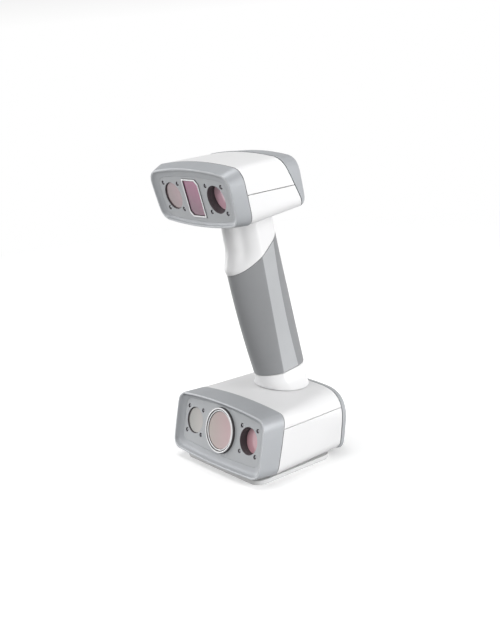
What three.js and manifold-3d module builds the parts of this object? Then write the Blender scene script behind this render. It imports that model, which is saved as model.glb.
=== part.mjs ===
// A handheld two-headed 3-D scanner: a wide lower head with a light projector and two cameras, a leaning
// handle with a rubber grip, and a smaller upper head with an infrared projector, two more cameras and three
// buttons. Millimetres, +Z up, +X to the right of someone facing the lenses, -Y towards the lenses, origin
// under the middle of the base. A mesh is one solid piece, and pieces that touch keep a gap of CLEARANCE.
import * as THREE from "three";
import { mergeVertices } from "three/addons/utils/BufferGeometryUtils.js";
import Module from "manifold-3d";

const wasm = await Module();
wasm.setup();

// ---------------------------------------------------------------- driving dimensions
const CLEARANCE = 0.3;
const WALL = 2.2;
const SEGMENTS = 24; // sides of a round piece

// A head is lofted through four cross-sections. Each stands at y and z, leans by a pitch in degrees
// (positive brings its top edge forward), and is a trapezoid given by its half widths and half height.
const UPPER = {
  rim: { y: -42, z: 209, pitch: 11.5, top: 50, bottom: 47.5, half: 18.2 },
  bezelBack: { y: -32.3, z: 211, pitch: 10, top: 53.5, bottom: 52, half: 20 },
  frameFront: { y: 13.4, z: 214.6, pitch: 23, top: 46.7, bottom: 48.7, half: 19.8 },
  rearEdge: { y: 23, z: 213.8, pitch: 7, top: 45, bottom: 45.5, half: 17.6 },
  crown: { top: 4.3, side: 0.6, bottom: 3.4 },
  corner: { top: 9.7, bottom: 8.5 },
  partingHeight: 212.6,
  rearCrown: 3.6,
};
const REAR_CORNER = { top: 22, bottom: 8.5 }; // the lower head's top corners grow rounder to the back
const LOWER = {
  rim: { y: -43.3, z: 29.2, pitch: -15, top: 55, bottom: 55, half: 22 },
  bezelBack: { y: -24.4, z: 27.5, pitch: -16, top: 54.6, bottom: 54.5, half: 23 },
  frameFront: { y: 36.9, z: 27.7, pitch: -3.2, top: 56.4, bottom: 50.2, half: 23, corner: REAR_CORNER },
  rearEdge: { y: 41.9, z: 25.8, pitch: -5, top: 54.4, bottom: 48.7, half: 22.9, corner: REAR_CORNER },
  crown: { top: 3.1, side: 0.5, bottom: 1.9 },
  corner: { top: 8.2, bottom: 8.5 },
  partingHeight: 39.5,
  rearCrown: 6.1,
};

// The lens panels, in the plane of their head's rim: depth is measured back from the rim.
const UPPER_PANEL = {
  top: 42,
  bottom: 41,
  half: 14.3,
  lift: -1.2,
  crown: { top: 2.6, side: 0.4, bottom: 2.4 },
  corner: { top: 7, bottom: 7 },
  depth: 2,
};
const LOWER_PANEL = {
  top: 48,
  bottom: 48,
  half: 16,
  lift: 2,
  crown: { top: 3.4, side: 0.4, bottom: 1.8 },
  corner: { top: 5.5, bottom: 5.5 },
  depth: 3.7,
};
const PANEL_THICKNESS = 2.5;
const RIM_WIDTH = 1.2;

// A camera looks out of a round window with four light-emitting diodes around it.
const WINDOW_RADIUS = 10.2;
const LED = { x: 9.4, z: 9.7, radius: 1.2, holeRadius: 1.6 };
const UPPER_CAMERA = { x: 27, z: 0 };
const LOWER_CAMERA = { x: 34.5, z: 3 };
const RECESS = 6; // how far the right-hand glass sits inside its tube
const SHALLOW_RECESS = 1.1; // and how far the left-hand glass sits behind the panel's face
const BARREL = { outer: 10.9, bore: 10.1, rear: 8.6, shoulder: 10.5, length: 18.5 };
const CAMERA_BODY = { size: 24, depth: 11 };
const GLASS = 1.4;

// Between the cameras: an infrared projector above, a light projector below.
const INFRARED = {
  x: -0.5,
  z: -0.4,
  halfWidth: 9.9,
  halfHeight: 14.3,
  chamfer: 3.2,
  trim: 1.1,
  barrel: 7.5,
};
const PROJECTOR = { z: 3, ringRadius: 17.2, glassRadius: 14.2, ringDepth: 8, lensRadius: 13.5, proud: 2.2 };

// The handle's section is a nose in front, two side flats and a blunt back. Its axis leans forward as it
// rises.
const HANDLE = {
  footY: 34,
  lean: 0.1765,
  halfWidth: 17.3,
  nose: 22,
  noseSwell: 3.2,
  tail: 19.5,
  tailSwell: 1,
  noseControl: { x: 10, y: 21.4 },
  tailControlX: 15,
};
const GRIP_THICKNESS = 2.6;
const CORE_THICKNESS = 2.6;
// The grip's ends and the collar's top: each rises to the back by a slope and, if it is curved, by a bend.
const GRIP_BOTTOM = { z: 64.4, slope: 0.14, bend: 0 };
const GRIP_TOP = { z: 157.2, slope: 0.77, bend: 0.0095 };
const COLLAR_TOP = { z: 195, slope: 0.14, bend: 0 };
const CORE_BOTTOM = 46;
const CORE_TOP = 198;

const FOOT = { thickness: 2.7, halfWidth: 47.6, front: -44, back: 30, corner: 9 };

// The rear covers, in the plane of their head's rear edge: depth is measured outwards.
const BUTTONS = [
  { name: "minus_button", x: -17.5, radius: 5 },
  { name: "scan_button", x: 0, radius: 7.6 },
  { name: "plus_button", x: 17.5, radius: 5 },
];
const BUTTON_PROUD = 1.1;
const LIGHT_GUIDE = { width: 30, height: 2.4, z: 10.6 };
const SCREW = { shank: 1.5, head: 2.7, headHeight: 1.5, length: 10 };
const FAN = { y: 32, z: 24.5, size: 30, depth: 7, bore: 13.8, blade: 13, hub: 6.2, blades: 7 };
const SOCKET = { x: 30, z: 1, outer: 8.6, bore: 6.3, depth: 9 };
const VENT = { rows: 8, height: 1.8, pitch: 3.5 };

// ---------------------------------------------------------------- materials
const WHITE = { color: "#eeeeee", roughness: 0.32, metalness: 0 };
const GREY = { color: "#9ea3aa", roughness: 0.42, metalness: 0 };
const PANEL_GREY = { color: "#a6abb1", roughness: 0.45, metalness: 0 };
const GRIP = { color: "#8f9193", roughness: 0.72, metalness: 0 };
const FOOT_RUBBER = { color: "#c9c9c9", roughness: 0.85, metalness: 0 };
const BLACK = { color: "#1d1e20", roughness: 0.55, metalness: 0 };
const CHROME = { color: "#e8e8ea", roughness: 0.12, metalness: 1 };
const STEEL = { color: "#8d9094", roughness: 0.35, metalness: 1 };
const ALUMINIUM = { color: "#b4b7ba", roughness: 0.4, metalness: 1 };
const BOARD = { color: "#1f5a3c", roughness: 0.5, metalness: 0 };
const PINK_GLASS = { color: "#b98c92", roughness: 0.08, metalness: 0 };
const MAGENTA_GLASS = { color: "#8a4a72", roughness: 0.08, metalness: 0 };
const MILKY_GLASS = { color: "#aaa6a2", roughness: 0.1, metalness: 0 };
const LIGHT_PLASTIC = { color: "#dfe6ea", roughness: 0.3, metalness: 0 };
const HARNESS = { color: "#2a2b2d", roughness: 0.6, metalness: 0 };

// ---------------------------------------------------------------- solids
const scanner = new THREE.Group();

function addPart(group, name, geometry, look) {
  const mesh = new THREE.Mesh(geometry, new THREE.MeshStandardMaterial(look));
  mesh.name = name;
  group.add(mesh);
  return mesh;
}

function toSolid(geometry) {
  const bare = geometry.index ? geometry.toNonIndexed() : geometry.clone();
  bare.deleteAttribute("normal");
  bare.deleteAttribute("uv");
  const merged = mergeVertices(bare, 1e-4);
  const triVerts = new Uint32Array(merged.index.array);
  return new wasm.Manifold(
    new wasm.Mesh({ numProp: 3, vertProperties: merged.attributes.position.array, triVerts }),
  );
}

function toGeometry(solid) {
  const { vertProperties, triVerts } = solid.getMesh();
  return new THREE.BufferGeometry()
    .setAttribute("position", new THREE.BufferAttribute(vertProperties, 3))
    .setIndex(new THREE.BufferAttribute(triVerts, 1));
}

const cut = (body, ...tools) =>
  toGeometry(tools.reduce((solid, tool) => solid.subtract(toSolid(tool)), toSolid(body)));
const join = (...pieces) =>
  toGeometry(pieces.slice(1).reduce((solid, piece) => solid.add(toSolid(piece)), toSolid(pieces[0])));
const common = (a, b) => toGeometry(toSolid(a).intersect(toSolid(b)));

function box(width, depth, height, x = 0, y = 0, z = 0) {
  return new THREE.BoxGeometry(width, depth, height).translate(x, y, z);
}

// A round bar along Y from one depth to another.
function rod(radius, from, to, x = 0, z = 0, sides = SEGMENTS) {
  return new THREE.CylinderGeometry(radius, radius, to - from, sides).translate(x, (from + to) / 2, z);
}

// A turned piece on an axis along Y: the profile's pairs are radius and depth.
function turned(profile, x = 0, z = 0, sides = SEGMENTS) {
  const points = profile.map(([radius, depth]) => new THREE.Vector2(radius, depth));
  return facingOut(new THREE.LatheGeometry(points, sides)).translate(x, 0, z);
}

// A flat plate, drawn in x and z, that fills the depths from one to another.
function plate(shape, from, to, steps = 8) {
  const settings = { depth: to - from, bevelEnabled: false, curveSegments: steps };
  return new THREE.ExtrudeGeometry(shape, settings).rotateX(Math.PI / 2).translate(0, to, 0);
}

function roundedRectangle(halfWidth, halfHeight, radius) {
  const shape = new THREE.Shape();
  shape.moveTo(-halfWidth + radius, -halfHeight);
  shape.absarc(halfWidth - radius, -halfHeight + radius, radius, -Math.PI / 2, 0);
  shape.absarc(halfWidth - radius, halfHeight - radius, radius, 0, Math.PI / 2);
  shape.absarc(-halfWidth + radius, halfHeight - radius, radius, Math.PI / 2, Math.PI);
  shape.absarc(-halfWidth + radius, -halfHeight + radius, radius, Math.PI, 1.5 * Math.PI);
  return shape;
}

// Turns every face round if the closed surface has them pointing in.
function facingOut(geometry) {
  const solid = geometry.index ? geometry : mergeVertices(geometry);
  const p = solid.attributes.position;
  const index = solid.index.array;
  const [a, b, c] = [new THREE.Vector3(), new THREE.Vector3(), new THREE.Vector3()];
  let volume = 0;
  for (let i = 0; i < index.length; i += 3) {
    a.fromBufferAttribute(p, index[i]);
    b.fromBufferAttribute(p, index[i + 1]);
    c.fromBufferAttribute(p, index[i + 2]);
    volume += a.dot(b.cross(c));
  }
  if (volume < 0) index.reverse();
  return solid;
}

// A skin through rings of equally many points. A closed loft ends where it starts, as a tube's wall does, and
// an open one is capped by its first and last rings.
function loft(rings, closed = false) {
  const count = rings[0].length;
  const index = [];
  const bands = closed ? rings.length : rings.length - 1;
  for (let r = 0; r < bands; r++) {
    const here = r * count;
    const next = ((r + 1) % rings.length) * count;
    for (let i = 0; i < count; i++) {
      const j = (i + 1) % count;
      index.push(here + i, next + i, next + j, here + i, next + j, here + j);
    }
  }
  if (!closed) {
    const last = (rings.length - 1) * count;
    for (let i = 1; i < count - 1; i++) {
      index.push(0, i, i + 1);
      index.push(last, last + i + 1, last + i);
    }
  }
  const geometry = new THREE.BufferGeometry().setFromPoints(rings.flat());
  geometry.setIndex(index);
  return facingOut(geometry);
}

// ---------------------------------------------------------------- cross-sections of the heads
const EDGE_STEPS = 4;
const CORNER_STEPS = 5;

// The outline of a crowned trapezoid with rounded corners, drawn in x (right) and y (up), and its inset.
function outline(section, inset = 0) {
  const top = section.top - inset;
  const bottom = section.bottom - inset;
  const half = section.half - inset;
  const corners = [
    new THREE.Vector2(-top, half),
    new THREE.Vector2(top, half),
    new THREE.Vector2(bottom, -half),
    new THREE.Vector2(-bottom, -half),
  ];
  const { crown, corner } = section;
  const crowns = [crown.top, crown.side, crown.bottom, crown.side];
  const radii = [corner.top, corner.top, corner.bottom, corner.bottom].map((r) => Math.max(r - inset, 1.5));
  const edges = corners.map((start, i) => {
    const end = corners[(i + 1) % 4];
    const along = end.clone().sub(start).normalize();
    const middle = start.clone().add(end).multiplyScalar(0.5);
    middle.add(new THREE.Vector2(-along.y, along.x).multiplyScalar(2 * crowns[i]));
    return new THREE.QuadraticBezierCurve(start, middle, end);
  });
  const reach = (i) => radii[i % 4] / corners[Math.floor(i) % 4].distanceTo(corners[(i + 1) % 4]);
  const points = [];
  edges.forEach((edge, i) => {
    const j = (i + 1) % 4;
    const length = corners[i].distanceTo(corners[j]);
    const end = 1 - radii[j] / length;
    for (let k = 0; k <= EDGE_STEPS; k++) {
      points.push(edge.getPoint(THREE.MathUtils.lerp(reach(i), end, k / EDGE_STEPS)));
    }
    const leave = edges[j].getPoint(reach(j));
    const round = new THREE.QuadraticBezierCurve(edge.getPoint(end), corners[j], leave);
    for (let k = 1; k < CORNER_STEPS; k++) points.push(round.getPoint(k / CORNER_STEPS));
  });
  return points.map((p) => p.add(new THREE.Vector2(0, section.lift ?? 0)));
}

function placement({ y, z, pitch }) {
  const turn = new THREE.Matrix4().makeRotationX(THREE.MathUtils.degToRad(pitch));
  return turn.setPosition(0, y, z);
}

// A section's outline as a ring in the object's frame, in a place's tilted plane, moved back by a depth.
function ring(section, place, inset = 0, depth = 0) {
  const matrix = placement(place);
  return outline(section, inset).map((p) => new THREE.Vector3(p.x, depth, p.y).applyMatrix4(matrix));
}

function station(head, key) {
  return { crown: head.crown, corner: head.corner, ...head[key] };
}

function stationRing(head, key, inset = 0, depth = 0) {
  const section = station(head, key);
  return ring(section, section, inset, depth);
}

function groupAt(place) {
  const group = new THREE.Group();
  group.position.set(0, place.y, place.z);
  group.rotation.x = THREE.MathUtils.degToRad(place.pitch);
  scanner.add(group);
  return group;
}

// ---------------------------------------------------------------- the handle's section
const FLANK_STEPS = 8;
const PALM = { middle: 125, halfLength: 60 };

const handleAxis = (z) => HANDLE.footY - HANDLE.lean * z;

// Where the side flats start and end, measured back from the axis: they widen as they rise.
const flatFront = (z) => -6.6 + 0.0655 * (z - 110);
const flatBack = (z) => 5.4 + 0.00085 * (z - 95) ** 2;

// How much the palm swell adds between the ends of the grip, from 0 to 1.
function palm(z) {
  return Math.max(0, 1 - ((z - PALM.middle) / PALM.halfLength) ** 2);
}

// The section at a height, inset by a distance, with its nose drawn back by another.
function handleSection(z, inset = 0, drawn = 0) {
  const width = HANDLE.halfWidth - inset;
  const nose = HANDLE.nose + HANDLE.noseSwell * palm(z) - inset - drawn;
  const tail = HANDLE.tail + HANDLE.tailSwell * palm(z) - inset;
  const scale = width / HANDLE.halfWidth;
  const noseX = HANDLE.noseControl.x * scale;
  const noseY = (nose * HANDLE.noseControl.y) / HANDLE.nose;
  const tailX = HANDLE.tailControlX * scale;
  const front = flatFront(z);
  const back = Math.min(flatBack(z), tail - 3);
  const flank = (x0, y0, cx, cy, x1, y1) =>
    new THREE.QuadraticBezierCurve(
      new THREE.Vector2(x0, y0),
      new THREE.Vector2(cx, cy),
      new THREE.Vector2(x1, y1),
    ).getPoints(FLANK_STEPS);
  const points = [
    ...flank(0, -nose, noseX, -noseY, width, front),
    ...flank(width, back, tailX, tail, 0, tail),
    ...flank(0, tail, -tailX, tail, -width, back).slice(1),
    ...flank(-width, front, -noseX, -noseY, 0, -nose).slice(0, -1),
  ];
  return points.map((p) => new THREE.Vector3(p.x, handleAxis(z) + p.y, z));
}

// The ring where the handle's skin meets a surface that rises to the back.
function slantedRing(rise, inset = 0, drawn = 0) {
  return handleSection(rise.z, inset, drawn).map((start, i) => {
    let point = start;
    for (let step = 0; step < 12; step++) {
      const z = rise.z + rise.slope * point.y + rise.bend * point.y ** 2;
      point = handleSection(z, inset, drawn)[i];
    }
    return point;
  });
}

const between = (a, b, t) => ({
  z: THREE.MathUtils.lerp(a.z, b.z, t),
  slope: THREE.MathUtils.lerp(a.slope, b.slope, t),
  bend: THREE.MathUtils.lerp(a.bend, b.bend, t),
});
const raised = (rise, by) => ({ ...rise, z: rise.z + by });

// The upper collar swells just above the grip and is waisted at the front above that.
function collarWaist(t) {
  const lip = 1.4 * Math.exp(-(((t - 0.07) / 0.09) ** 2));
  return 3.2 * THREE.MathUtils.smoothstep(t, 0.08, 0.42) - lip;
}

// Above the swell, each flank of the collar is hollowed beside the nose: the share by which its skin comes
// nearer the axis, at a point's place along the flank.
const HOLLOW = { share: 0.065, place: 0.6, reach: 0.16 };
function collarHollow(t, i, count) {
  const place = Math.min(i, count - i) / FLANK_STEPS;
  const fall = Math.exp(-(((place - HOLLOW.place) / HOLLOW.reach) ** 2));
  return HOLLOW.share * fall * THREE.MathUtils.smoothstep(t, 0.03, 0.3);
}

function collarRings(inset, from, to, hollow = true, steps = 8) {
  const rings = [];
  for (let k = 0; k <= steps; k++) {
    const t = k / steps;
    const skin = slantedRing(between(from, to, t), inset, collarWaist(t));
    if (hollow) {
      skin.forEach((p, i) => {
        const share = collarHollow(t, i, skin.length);
        p.x *= 1 - share;
        p.y -= (p.y - handleAxis(p.z)) * share;
      });
    }
    rings.push(skin);
  }
  return rings;
}

// The lower collar flares from the grip to a broad foot on the lower head.
const COLLAR_FOOT = { halfWidth: 28, front: 18, back: 17, y: 23.5, z: 52, flare: 2.4 };
function lowerCollarRings(inset, steps = 7) {
  const grip = slantedRing(raised(GRIP_BOTTOM, -CLEARANCE), inset);
  const section = handleSection(COLLAR_FOOT.z, inset);
  const foot = section.map((p) => {
    const x = p.x / HANDLE.halfWidth;
    const y = (p.y - handleAxis(COLLAR_FOOT.z)) / HANDLE.nose;
    const reach = Math.hypot(x, y);
    const depth = y < 0 ? COLLAR_FOOT.front : COLLAR_FOOT.back;
    const spread = 1 / Math.max(reach, 0.2);
    return new THREE.Vector3(
      x * spread * (COLLAR_FOOT.halfWidth - inset),
      COLLAR_FOOT.y + y * spread * (depth - inset),
      COLLAR_FOOT.z,
    );
  });
  const rings = [];
  for (let k = 0; k <= steps; k++) {
    const t = k / steps;
    rings.push(
      grip.map((p, i) => {
        const flare = t ** COLLAR_FOOT.flare;
        const x = THREE.MathUtils.lerp(p.x, foot[i].x, flare);
        const y = THREE.MathUtils.lerp(p.y, foot[i].y, 0.55 * flare + 0.45 * t);
        return new THREE.Vector3(x, y, THREE.MathUtils.lerp(p.z, foot[i].z, t));
      }),
    );
  }
  return rings;
}

// The core's lower end, a smaller copy of the section that drops into the lower head.
const TENON = { y: 21.5, width: 0.85, depth: 0.72 };
function tenonRing(z, inset) {
  return handleSection(z, inset).map((p) => {
    const y = TENON.y + TENON.depth * (p.y - handleAxis(z));
    return new THREE.Vector3(TENON.width * p.x, y, z);
  });
}

// ---------------------------------------------------------------- casings of a head
function headBody(head, inset = 0) {
  const rings = ["rim", "bezelBack", "frameFront", "rearEdge"].map((key) => stationRing(head, key, inset));
  return loft(rings);
}

// The white sleeve between the front bezel and the rear frame, before it is split.
function sleeve(head) {
  const front = 0.2;
  return loft(
    [
      stationRing(head, "bezelBack", front, CLEARANCE),
      stationRing(head, "frameFront", 0.1, -CLEARANCE),
      stationRing(head, "frameFront", WALL, -CLEARANCE),
      stationRing(head, "bezelBack", front + WALL, CLEARANCE),
    ],
    true,
  );
}

const HUGE = 200;
function topShell(head, ...holes) {
  const below = box(HUGE, HUGE, HUGE, 0, 0, head.partingHeight - HUGE / 2 + CLEARANCE / 2);
  return cut(sleeve(head), below, ...holes);
}

function bottomShell(head, ...holes) {
  const above = box(HUGE, HUGE, HUGE, 0, 0, head.partingHeight + HUGE / 2 - CLEARANCE / 2);
  return cut(sleeve(head), above, ...holes);
}

// The funnel between the rim and the lens panel is hollow: most of its depth is reached near the rim.
const FUNNEL = { across: 0.35, down: 0.75 };
function funnelRing(head, panel) {
  const rim = stationRing(head, "rim", RIM_WIDTH, FUNNEL.down * panel.depth);
  const inner = ring(panel, head.rim, -CLEARANCE, FUNNEL.down * panel.depth);
  return rim.map((p, i) => p.lerp(inner[i], FUNNEL.across));
}

// The grey front ring: its outer band, a narrow rim, the funnel and a pocket for the lens panel.
function frontBezel(head, panel) {
  const pocket = panel.depth + PANEL_THICKNESS + 0.6;
  return loft(
    [
      stationRing(head, "bezelBack"),
      stationRing(head, "rim"),
      stationRing(head, "rim", RIM_WIDTH),
      funnelRing(head, panel),
      ring(panel, head.rim, -CLEARANCE, panel.depth),
      ring(panel, head.rim, -CLEARANCE, pocket),
      stationRing(head, "bezelBack", WALL),
    ],
    true,
  );
}

// The grey rear ring with a screw boss at each fixing point.
const FRAME_WALL = 2.6;
const BOSS = { radius: 3.4, from: -5.6, to: -0.6, arm: { length: 14, depth: 2.4, height: 4, y: -4.5 } };
function rearFrame(head, fixings) {
  const band = loft(
    [
      stationRing(head, "frameFront"),
      stationRing(head, "rearEdge"),
      stationRing(head, "rearEdge", FRAME_WALL),
      stationRing(head, "frameFront", FRAME_WALL),
    ],
    true,
  );
  const matrix = placement(head.rearEdge);
  const within = loft([stationRing(head, "frameFront", 1), stationRing(head, "rearEdge", 1)]);
  const { radius, from, to, arm } = BOSS;
  return fixings.reduce((frame, [x, z]) => {
    const reach = box(arm.length, arm.depth, arm.height, x + (Math.sign(x) * arm.length) / 2, arm.y, z);
    const boss = join(rod(radius, from, to, x, z, 12), reach);
    const bored = cut(boss, rod(SCREW.shank + CLEARANCE, -8, 2, x, z, 8)).applyMatrix4(matrix);
    return join(frame, common(bored, within));
  }, band);
}

// The crowned rear cover as a dished plate: depth is how far the crown stands out of the frame.
function rearCover(head, ...holes) {
  const section = station(head, "rearEdge");
  const edge = FRAME_WALL + CLEARANCE;
  const crown = head.rearCrown;
  const thick = 2.4;
  const profile = [
    [edge + 10.5, crown - thick],
    [edge + 5.5, 0.82 * crown - thick],
    [edge + thick, 0.2 * crown - thick],
    [edge + thick + 0.5, -1.2],
    [edge + 0.7, -1.2],
    [edge, 0.3],
    [edge + 1.2, 0.42 * crown],
    [edge + 4.5, 0.82 * crown],
    [edge + 9.5, crown],
  ];
  const rings = profile.map(([inset, depth]) =>
    outline(section, inset).map((p) => new THREE.Vector3(p.x, depth, p.y)),
  );
  return cut(loft(rings), ...holes);
}

// ---------------------------------------------------------------- optics shared by both heads
function ledSpots(camera) {
  return [-1, 1].flatMap((sx) => [-1, 1].map((sz) => [camera.x + sx * LED.x, camera.z + sz * LED.z]));
}

function lensPanel(panel, camera, ...holes) {
  const from = panel.depth;
  const to = panel.depth + PANEL_THICKNESS;
  const sides = [-1, 1].map((side) => ({ x: side * camera.x, z: camera.z }));
  const windows = sides.map(({ x, z }) => rod(WINDOW_RADIUS, from - 1, to + 1, x, z));
  const leds = sides.flatMap(ledSpots).map(([x, z]) => rod(LED.holeRadius, from - 1, to + 1, x, z, 8));
  const slab = plate(new THREE.Shape(outline(panel)), from, to);
  return cut(slab, ...windows, ...leds, ...holes);
}

// A circuit board with a hole for the lens and four light-emitting diodes that look through the panel.
const LED_BOARD = { half: 12.6, corner: 3, thickness: 1.4 };
function ledBoard(panel, camera) {
  const from = panel.depth + PANEL_THICKNESS + CLEARANCE;
  const { half, corner, thickness } = LED_BOARD;
  const square = plate(roundedRectangle(half, half, corner), from, from + thickness, 3);
  square.translate(camera.x, 0, camera.z);
  const board = cut(square, rod(BARREL.outer + CLEARANCE, from - 1, from + 3, camera.x, camera.z, 16));
  const top = panel.depth + 1;
  const base = from + 0.6;
  const profile = [[0, base], [LED.radius, base], [LED.radius, top + 0.9], [0.7, top], [0, top]];
  const leds = ledSpots(camera).map(([x, z]) => turned(profile, x, z, 6));
  return join(board, ...leds);
}

// A lens barrel: a black tube in front, a shoulder and a narrower rear that passes through the bracket.
function lensBarrel(panel, camera) {
  const from = panel.depth + PANEL_THICKNESS + CLEARANCE;
  const floor = panel.depth + RECESS + GLASS + 2 * CLEARANCE;
  const profile = [
    [0, floor],
    [BARREL.bore, floor],
    [BARREL.bore, from],
    [BARREL.outer, from],
    [BARREL.outer, BARREL.shoulder + 3],
    [BARREL.rear, BARREL.shoulder + 3],
    [BARREL.rear, BARREL.length + 3],
    [0, BARREL.length + 3],
  ];
  return turned(profile, camera.x, camera.z);
}

function addCameras(group, prefix, panel, camera) {
  const rear = BARREL.length + 3 + CLEARANCE;
  for (const [side, sign] of [["left", -1], ["right", 1]]) {
    const place = { x: sign * camera.x, z: camera.z };
    const recessed = side === "right";
    const front = panel.depth + (recessed ? RECESS : SHALLOW_RECESS);
    const radius = recessed ? BARREL.bore - CLEARANCE : WINDOW_RADIUS - CLEARANCE;
    const glass = rod(radius, front, front + GLASS, place.x, place.z);
    addPart(group, `${prefix}_${side}_window`, glass, recessed ? PINK_GLASS : MILKY_GLASS);
    addPart(group, `${prefix}_${side}_led_board`, ledBoard(panel, place), BOARD);
    addPart(group, `${prefix}_${side}_lens_barrel`, lensBarrel(panel, place), BLACK);
    const { size, depth } = CAMERA_BODY;
    const chip = box(size, depth, size, place.x, rear + depth / 2, place.z);
    const plug = box(10, 4, 5, place.x, rear + depth + 1.5, place.z);
    addPart(group, `${prefix}_${side}_camera`, join(chip, plug), ALUMINIUM);
  }
}

// The aluminium plate that holds both cameras and the projector in line.
function opticsBracket(camera, halfWidth, halfHeight, lift, ...holes) {
  const from = BARREL.shoulder + 3 + CLEARANCE;
  const slab = plate(roundedRectangle(halfWidth, halfHeight, 4), from, from + 3, 4).translate(0, 0, lift);
  const bores = [-1, 1].map((side) =>
    rod(BARREL.rear + CLEARANCE, from - 1, from + 4, side * camera.x, camera.z),
  );
  return cut(slab, ...bores, ...holes);
}

// ---------------------------------------------------------------- fixings and the rear
function screw(x, z, under) {
  const { shank, head, headHeight, length } = SCREW;
  const top = under + headHeight;
  const bolt = turned(
    [[0, under - length], [shank, under - length], [shank, under], [head, under], [head, top], [0, top]],
    x,
    z,
    12,
  );
  return cut(bolt, box(3.4, 2, 0.8, x, top + 0.2, z), box(0.8, 2, 3.4, x, top + 0.2, z));
}

function screwHoles(fixings, under) {
  return fixings.flatMap(([x, z]) => [
    rod(SCREW.shank + CLEARANCE, -10, 12, x, z, 8),
    rod(SCREW.head + CLEARANCE, under - CLEARANCE, 12, x, z, 12),
  ]);
}

function addScrews(group, prefix, fixings, under) {
  fixings.forEach(([x, z], i) => addPart(group, `${prefix}_rear_screw_${i + 1}`, screw(x, z, under), STEEL));
}

// ---------------------------------------------------------------- lower head
function buildLowerCasing() {
  const handleHole = loft([tenonRing(40, GRIP_THICKNESS), tenonRing(62, GRIP_THICKNESS)]);
  const handleFoot = loft(lowerCollarRings(-CLEARANCE));
  const fixings = [[-40, 12], [40, 12], [-37, -11], [37, -11]];
  const under = LOWER.rearCrown - 1.3;
  addPart(scanner, "lower_top_shell", topShell(LOWER, handleHole), WHITE);
  addPart(scanner, "lower_bottom_shell", bottomShell(LOWER), WHITE);
  addPart(scanner, "lower_front_bezel", frontBezel(LOWER, LOWER_PANEL), GREY);
  addPart(scanner, "lower_rear_frame", cut(rearFrame(LOWER, fixings), handleFoot), GREY);
  const rear = groupAt(LOWER.rearEdge);
  const vents = [];
  for (let row = 0; row < VENT.rows; row++) {
    const z = FAN.z - LOWER.rearEdge.z + (row - (VENT.rows - 1) / 2) * VENT.pitch;
    vents.push(box(26, 30, VENT.height, 0, 0, z));
    vents.push(box(10, 30, VENT.height, -27, 0, z));
  }
  const port = rod(SOCKET.outer + CLEARANCE, -20, 20, SOCKET.x, SOCKET.z);
  const cover = rearCover(LOWER, port, ...vents, ...screwHoles(fixings, under));
  addPart(rear, "lower_rear_cover", cover, GREY);
  addScrews(rear, "lower", fixings, under);
  addPart(rear, "cable_socket", cableSocket(), BLACK);
}

// A round locking socket: a sleeve with a floor, six contact pins and a flange behind the cover.
function cableSocket() {
  const mouth = LOWER.rearCrown + 0.6;
  const floor = mouth - SOCKET.depth;
  const flange = { front: 1, back: -0.6, radius: SOCKET.outer + 1.6 };
  const body = turned(
    [
      [0, floor - 2.5],
      [SOCKET.outer, floor - 2.5],
      [SOCKET.outer, flange.back],
      [flange.radius, flange.back],
      [flange.radius, flange.front],
      [SOCKET.outer, flange.front],
      [SOCKET.outer, mouth],
      [SOCKET.bore, mouth],
      [SOCKET.bore, floor],
      [0, floor],
    ],
    SOCKET.x,
    SOCKET.z,
  );
  const pins = [];
  for (let i = 0; i < 6; i++) {
    const angle = (i * Math.PI) / 3;
    const [x, z] = [SOCKET.x + 3.4 * Math.cos(angle), SOCKET.z + 3.4 * Math.sin(angle)];
    pins.push(rod(0.6, floor - 1, floor + 4.5, x, z, 8));
  }
  return join(body, ...pins);
}

function buildFoot() {
  const { thickness, halfWidth, front, back, corner } = FOOT;
  const shape = roundedRectangle(halfWidth, (back - front) / 2, corner);
  const settings = { depth: thickness, bevelEnabled: false, curveSegments: 5 };
  const pad = new THREE.ExtrudeGeometry(shape, settings).translate(0, (front + back) / 2, 0);
  const under = headBody(LOWER, -CLEARANCE);
  addPart(scanner, "foot_pad", cut(pad, under), FOOT_RUBBER);
}

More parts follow.
